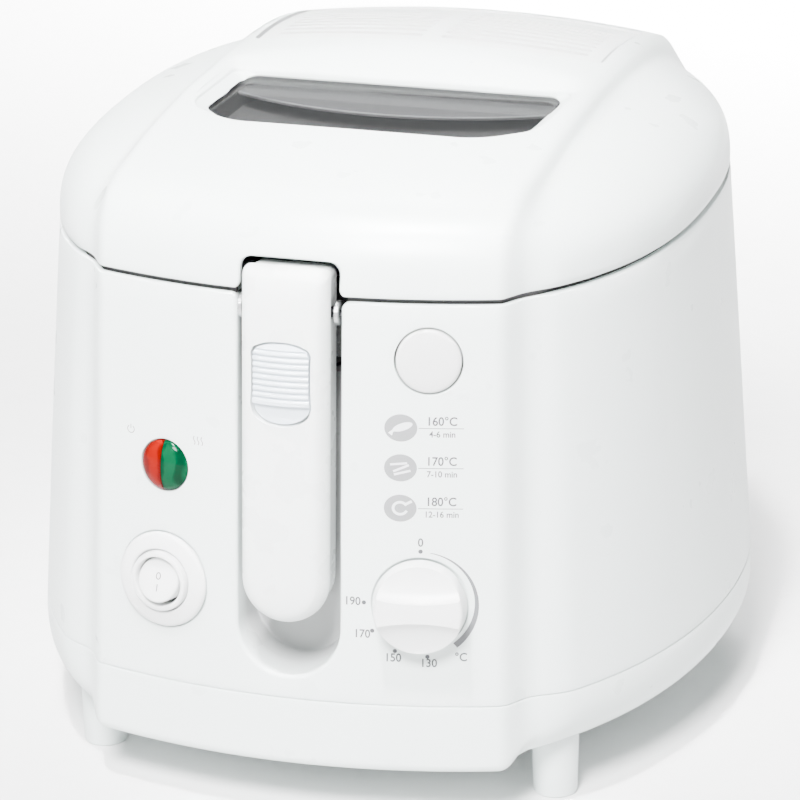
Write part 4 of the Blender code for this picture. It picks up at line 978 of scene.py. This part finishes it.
def make_switch():
    place = face_frame(SWITCH_AT)
    collar = [(0.0086, -0.0068), (0.0086, 0.0036), (0.0089, 0.0041), (0.0098, 0.0042), (0.0103, 0.0039),
              (0.0105, 0.0032), (0.0106, 0.0004)]
    plate = [(0.0110, 0.0004), (0.0111, 0.0024), (0.0115, 0.0027), (0.0150, 0.0019), (0.0160, 0.0016),
             (0.0165, 0.0011), (SWITCH_R, 0.0004), (SWITCH_R - 0.0004, -0.0008), (0.0122, -0.0008)]
    profile = [*collar, *plate, (0.0122, -0.0068), collar[0]]
    bezel = turned("switch_ring", profile, M["control_white"], place, 128)
    finish_piece(bezel, "case", "control_white", "switch_bezel")
    tilt = place @ Matrix.Rotation(math.radians(-8), 4, "X")
    cap = rounded([(AXIS, 0.0040), (0.0077, 0.0040), (0.0074, -0.0038), (AXIS, -0.0038)], 0.0008)
    rocker = turned("rocker_cap", cap, M["control_white"], tilt, 96)
    for vertex in rocker.data.vertices:
        if vertex.co.z > 0:
            vertex.co.z -= ROCKER_SLOPE * vertex.co.y
    finish_piece(rocker, "rocker_switch", "control_white", "rocker")
    turns = np.linspace(0, 2 * math.pi, 28)[:-1]
    ring = [(0.0008 * math.sin(t), 0.0014 + 0.0011 * math.cos(t)) for t in turns]
    ring = [(x, y, 0.0040 - ROCKER_SLOPE * y) for x, y in ring]
    marks = tube("rocker_marks", [ring], 0.00016, M["print"], closed=True)
    run = [(0, y, 0.0040 - ROCKER_SLOPE * y) for y in (-0.0014, -0.0026, -0.0038)]
    bar = tube("rocker_bar", [run], 0.00016, M["print"])
    for mark in (marks, bar):
        mark.matrix_world = tilt
        finish_piece(mark, "rocker_switch", "control_white")


def make_lamp():
    """Two half-round domed lenses; the prism ridges behind them are in their finish."""
    place, rim = face_frame(LAMP_AT), LAMP_R - 0.0001
    dome = [(AXIS, 0.0027), (0.0022, 0.00262), (0.0044, 0.0022), (0.0062, 0.0016), (0.0076, 0.0008),
            (0.0084, 0.0002), (rim, -0.0004), (rim, -0.0036), (AXIS, -0.0036)]
    for name, side, colour in (("lens_left", -1, "red"), ("lens_right", 1, "green")):
        cap = turned(name, dome, M[f"lens_{colour}"], place, 96)
        low, high = sorted((side * 0.00015, side * -0.02))
        cut_all(cap, [box(f"{name}_half", (low, -0.02, -0.01), (high, 0.02, 0.01), place)], smooth=30)
        finish_piece(cap, "case", f"lens_{colour}", f"lamp_lens_{colour}")


def make_button():
    rim = BUTTON_R - 0.0001
    profile = [(AXIS, 0.0010), (0.0060, 0.0009), (0.0096, 0.0006), (0.0103, 0.0004), (0.0107, 0.0000),
               (rim, -0.0006), (rim, -0.0052), (0.0030, -0.0052), (0.0030, -0.0168), (AXIS, -0.0168)]
    cap = turned("button_cap", profile, M["button_grey"], face_frame(BUTTON_AT), 96)
    finish_piece(cap, "lid_button", "button_grey", "release_button")


# ---- printing on the front -------------------------------------------------------------
def print_on_front(name, shapes, slot, lift=PRINT_LIFT):
    """Flat (points, faces) artwork in (x, z), laid on the front band's curved face as one piece."""
    points, faces = [], []
    for outline, sheets in shapes:
        faces += [tuple(len(points) + i for i in face) for face in sheets]
        for x, z in outline:
            out = Vector((x / FRONT_RADIUS, -1, FRONT_LEAN)).normalized()
            points.append(Vector((x, float(front_face_y(x, z)), z)) + out * lift)
    mark = add_mesh(name, points, faces, M[slot])
    mark.data.shade_smooth()
    finish_piece(mark, "case", "control_white")


def lettering(text, size, at):
    """(points, faces) of a word in the built-in font, centred on a point."""
    curve = bpy.data.curves.new("letters", "FONT")
    curve.body, curve.size, curve.align_x, curve.align_y = text, size, "CENTER", "CENTER"
    curve.resolution_u, curve.offset = 4, size * 0.018
    holder = placed("letters", curve)
    mesh = bpy.data.meshes.new_from_object(holder.evaluated_get(bpy.context.evaluated_depsgraph_get()))
    points = [(at[0] + 0.92 * v.co.x, at[1] + v.co.y) for v in mesh.vertices]
    faces = [tuple(p.vertices) for p in mesh.polygons]
    bpy.data.objects.remove(holder, do_unlink=True)
    return points, faces


def stroke(points, width):
    """(points, faces) of a line with a width, or a list of widths."""
    points = np.asarray(points, float)
    widths = np.broadcast_to(width, len(points))
    ahead = np.gradient(points, axis=0)
    ahead /= np.linalg.norm(ahead, axis=1)[:, None]
    side = np.stack([-ahead[:, 1], ahead[:, 0]], axis=1) * widths[:, None] / 2
    count = len(points)
    return [tuple(p) for p in np.concatenate([points + side, points - side])], [
        (i, i + 1, count + i + 1, count + i) for i in range(count - 1)]


def disc(at, rx, rz, steps=40, tilt=0.0):
    turns = np.linspace(0, 2 * math.pi, steps, endpoint=False)
    points = [(at[0] + rx * math.cos(t) * math.cos(tilt) - rz * math.sin(t) * math.sin(tilt),
               at[1] + rx * math.cos(t) * math.sin(tilt) + rz * math.sin(t) * math.cos(tilt)) for t in turns]
    return points, [tuple(range(steps))]


def polar(at, radius, clock):
    """A point at a clock angle in degrees, clockwise from the top."""
    return at[0] + radius * math.sin(math.radians(clock)), at[1] + radius * math.cos(math.radians(clock))


def make_dial_print():
    x, z = KNOB_AT
    shapes = [disc(polar(KNOB_AT, 0.0186, clock), 0.00075, 0.00075, 16) for clock in (172, 206, 238, 270, 0)]
    for text, dx, dz in (("0", 0, 0.0216), ("190", -0.0225, 0.0002), ("170", -0.0192, -0.0112),
                         ("150", -0.0088, -0.0192), ("130", 0.0030, -0.0208), ("°C", 0.0135, -0.0186)):
        shapes.append(lettering(text, 0.0041, (x + dx, z + dz)))
    arrow = [polar(KNOB_AT, 0.0184, clock) for clock in np.linspace(10, 141, 60)]
    print_on_front("dial_print", shapes, "print")
    print_on_front("dial_wedge", [stroke(arrow, np.linspace(0.0002, 0.0021, 60))], "print_mid")


def make_icon_print():
    """Three grey badges with plain food signs, each with a temperature over a time."""
    badges, dark, light = [], [], []
    rows = ((0.1414, "160°C", "4-6 min"), (0.1276, "170°C", "7-10 min"), (0.1136, "180°C", "12-16 min"))
    for z, heat, time in rows:
        badges.append(disc((0.0380, z), 0.0054, 0.0047))
        dark.append(stroke([(0.0438, z), (0.0510, z), (0.0584, z)], 0.00025))
        dark.append(lettering(heat, 0.0042, (0.0513, z + 0.0023)))
        dark.append(lettering(time, 0.0030, (0.0515, z - 0.0021)))
    z = rows[0][0]
    light.append(disc((0.0386, z + 0.0004), 0.0034, 0.0013, 30, 0.35))
    tail = [(0.0345, z - 0.0022), (0.0352, z - 0.0012), (0.0362, z - 0.0004)]
    light.append(stroke(tail, (0.0016, 0.0008, 0.0010)))
    z = rows[1][0]
    for dx, dz, tilt in ((-0.0006, 0.0014, 0.10), (0.0002, -0.0001, 0.42), (0.0006, -0.0016, 0.26)):
        run = [(0.0380 + dx + s * math.cos(tilt), z + dz + s * math.sin(tilt)) for s in (-0.0028, 0, 0.0028)]
        light.append(stroke(run, 0.00075))
    z = rows[2][0]
    ring = [(0.0380 + 0.0023 * math.cos(t), z + 0.0021 * math.sin(t)) for t in np.linspace(0.5, 5.9, 30)]
    light.append(stroke(ring, 0.0009))
    light.append(stroke([(0.0398, z + 0.0014), (0.0408, z + 0.0020), (0.0418, z + 0.0025)], 0.0009))
    print_on_front("badge_print", badges, "print_badge")
    print_on_front("cooking_times", dark, "print")
    print_on_front("badge_signs", light, "print_light", 2 * PRINT_LIFT)


def make_lamp_print():
    """Plain signs for power and heat beside the lamp, in place of words."""
    x, z = LAMP_AT[0] - 0.0128, LAMP_AT[1] + 0.0105
    turns = np.linspace(0.6, 2 * math.pi - 0.6, 24)
    ring = [(x + 0.0013 * math.sin(t), z + 0.0013 * math.cos(t)) for t in turns]
    shapes = [stroke(ring, 0.0003), stroke([(x, z + 0.0017), (x, z + 0.0009), (x, z + 0.0002)], 0.0003)]
    x = LAMP_AT[0] + 0.0128
    for dx in (-0.0014, 0, 0.0014):
        wave = [(x + dx + 0.0003 * math.sin(t * 6.3), z - 0.0014 + 0.0029 * t) for t in np.linspace(0, 1, 14)]
        shapes.append(stroke(wave, 0.0003))
    print_on_front("lamp_signs", shapes, "print_mid")


# ---- inside ----------------------------------------------------------------------------
PAN_AXIS = Matrix.Translation((0, PAN_CENTRE, 0))


def make_pan():
    low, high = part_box("oil_pan")
    top, floor, radius, flange = high.z, low.z, 0.0920, (high.x - low.x) / 2
    profile = [(AXIS, floor + 0.0015), (radius - 0.014, floor + 0.0015), (radius - 0.0016, floor + 0.0130),
               (radius - 0.0016, top - 0.0002), (radius + 0.0006, top), (flange, top), (flange, top - 0.0014),
               (radius, top - 0.0018), (radius, floor + 0.0125), (radius - 0.013, floor), (AXIS, floor)]
    pan = turned("pan_shell", rounded(profile, 0.0030, 6), M["pan_coating"], PAN_AXIS, 128)
    finish_piece(pan, "case", "pan_coating", "oil_pan")


def circle(radius, z, steps=72):
    turns = np.linspace(0, 2 * math.pi, steps, endpoint=False)
    return [(radius * math.cos(t), PAN_CENTRE + radius * math.sin(t), z) for t in turns]


def make_basket():
    low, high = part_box("basket_mesh")
    radius, floor, top = (high.x - low.x) / 2 - 0.0008, low.z + 0.0008, high.z + 0.0018
    corner = 0.009
    wires = []
    for k in range(48):
        turn = 2 * math.pi * (k + 0.5) / 48
        bend = [(radius - corner + corner * math.cos(a), floor + corner - corner * math.sin(a))
                for a in np.radians((0, 22, 45, 68, 90))]
        run = [(radius, top), (radius, (top + floor) / 2)] + bend + [(radius - 0.020, floor)]
        wires.append([(r * math.cos(turn), PAN_CENTRE + r * math.sin(turn), z) for r, z in run])
    reach = radius - corner * 0.6
    for step in range(-8, 9):
        offset = step * 0.0086
        half = math.sqrt(reach**2 - offset**2)
        run = [s * half for s in (-1, -0.5, 0, 0.5, 1)]
        wires.append([(a, PAN_CENTRE + offset, floor - 0.0002) for a in run])
        wires.append([(offset, PAN_CENTRE + a, floor + 0.0007) for a in run])
    mesh = tube("basket_wires", wires, 0.00055, M["mesh_steel"], 6)
    finish_piece(mesh, "basket", "mesh_steel", "basket_mesh")
    heights = [floor + corner, *np.linspace(floor + corner + 0.008, top - 0.006, 5)]
    rows = [circle(radius - 0.0009, z) for z in heights]
    hoops = tube("basket_hoops", rows, 0.00055, M["mesh_steel"], 6, closed=True)
    finish_piece(hoops, "basket", "mesh_steel")
    hoop = circle((high.x - low.x) / 2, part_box("basket_rim")[0].z + 0.0016)
    rim = tube("basket_ring", [hoop], 0.0018, M["steel"], 12, closed=True)
    finish_piece(rim, "basket", "steel", "basket_rim")


def make_lid_liner():
    low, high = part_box("inner_lid")
    radius = (high.x - low.x) / 2
    under = high.z - 0.0012
    profile = [(AXIS, high.z), (radius, high.z), (radius, low.z), (radius - 0.0018, low.z),
               (radius - 0.0030, under), (AXIS, under)]
    liner = turned("liner_plate", rounded(profile, 0.0006, 3), M["aluminium"], PAN_AXIS, 128)
    tools = [box("liner_window", (-0.050, -0.048, 0.17), (0.050, -0.004, 0.20), bevel=0.004)]
    for i in range(5):
        y = 0.042 + i * 0.010
        tools.append(box(f"vent_{i}", (-0.045, y, 0.17), (0.045, y + 0.005, 0.20), bevel=0.001))
    cut_all(liner, tools)
    finish_piece(liner, "lid", "aluminium", "inner_lid")
    low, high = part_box("lid_seal")
    mid = 0.0968
    section = [(mid + 0.0012, high.z), (mid + 0.0016, (low.z + high.z) / 2), (mid + 0.0014, low.z + 0.0004),
               (mid + 0.0004, low.z), (mid - 0.0008, low.z + 0.0002), (mid - 0.0014, low.z + 0.0010),
               (mid - 0.0016, high.z), (mid + 0.0012, high.z)]
    seal = turned("lid_gasket", section, M["rubber"], PAN_AXIS, 128)
    cut_all(seal, [box("gap", (-0.011, -0.12, 0.17), (0.011, -0.07, 0.19))])
    finish_piece(seal, "lid", "rubber", "lid_seal")


def make_gland():
    low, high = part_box("cable_gland")
    x, z = (low.x + high.x) / 2, (low.z + high.z) / 2
    end = high.y - low.y - 0.0080
    profile = [(0.0034, end), (0.0058, end), (0.0068, 0.0090), (0.0082, 0.0080), (0.0085, 0.0070),
               (0.0085, 0.0052), (0.0060, 0.0052), (0.0060, -0.0080), (0.0034, -0.0080), (0.0034, end)]
    place = Matrix.Translation((x, high.y - end, z)) @ Matrix.Rotation(math.radians(-90), 4, "X")
    gland = turned("gland_sleeve", profile, M["black_plastic"], place, 64)
    finish_piece(gland, "case", "black_plastic", "cable_gland")


# ---- studio ----------------------------------------------------------------------------
def make_studio():
    made, tree, shader = node_material("floor_paper", (0.85, 0.85, 0.85), 0.9)
    paper = add_noise(tree, 90, 4)
    vary(tree, paper, 0.84, 0.86, shader.inputs["Base Color"])
    floor = add_mesh("floor", [(-6, -6, 0), (6, -6, 0), (6, 6, 0), (-6, 6, 0)], [(0, 1, 2, 3)], made)
    world = bpy.data.worlds.new("studio")
    bpy.context.scene.world = world
    world.use_nodes = True
    world.node_tree.nodes["Background"].inputs["Color"].default_value = (1, 1, 1, 1)
    world.node_tree.nodes["Background"].inputs["Strength"].default_value = WORLD
    for name, spot, size, power, beam, aim in LIGHTS:
        light = bpy.data.lights.new(name, "AREA")
        light.shape, light.size, light.energy, light.spread = "DISK", size, power, math.radians(beam)
        lamp = placed(name, light)
        lamp.location = spot
        lamp.rotation_euler = (Vector(aim) - Vector(spot)).to_track_quat("-Z", "Y").to_euler()


def make_camera():
    camera = bpy.data.cameras.new("camera")
    camera.lens, camera.sensor_width = CAMERA_LENS, 36
    camera.clip_start, camera.clip_end = 0.05, 30
    holder = placed("camera", camera)
    back = (CAMERA_AT - CAMERA_LOOK).normalized()
    right = Vector((0, 0, 1)).cross(back).normalized()
    up = back.cross(right)
    cos, sin = math.cos(CAMERA_ROLL), math.sin(CAMERA_ROLL)
    turn = Matrix((right * cos + up * sin, up * cos - right * sin, back)).transposed().to_4x4()
    holder.matrix_world = Matrix.Translation(CAMERA_AT) @ turn
    bpy.context.scene.camera = holder


make_camera()
make_studio()
dress_cad_nodes()
make_housing()
make_base_tray()
make_feet()
make_lid_shell()
make_gap_shade_strip()
make_window()
make_filter_cover()
make_handle()
make_slider()
make_handle_pin()
make_knob()
make_switch()
make_lamp()
make_button()
make_dial_print()
make_icon_print()
make_lamp_print()
make_pan()
make_basket()
make_lid_liner()
make_gland()
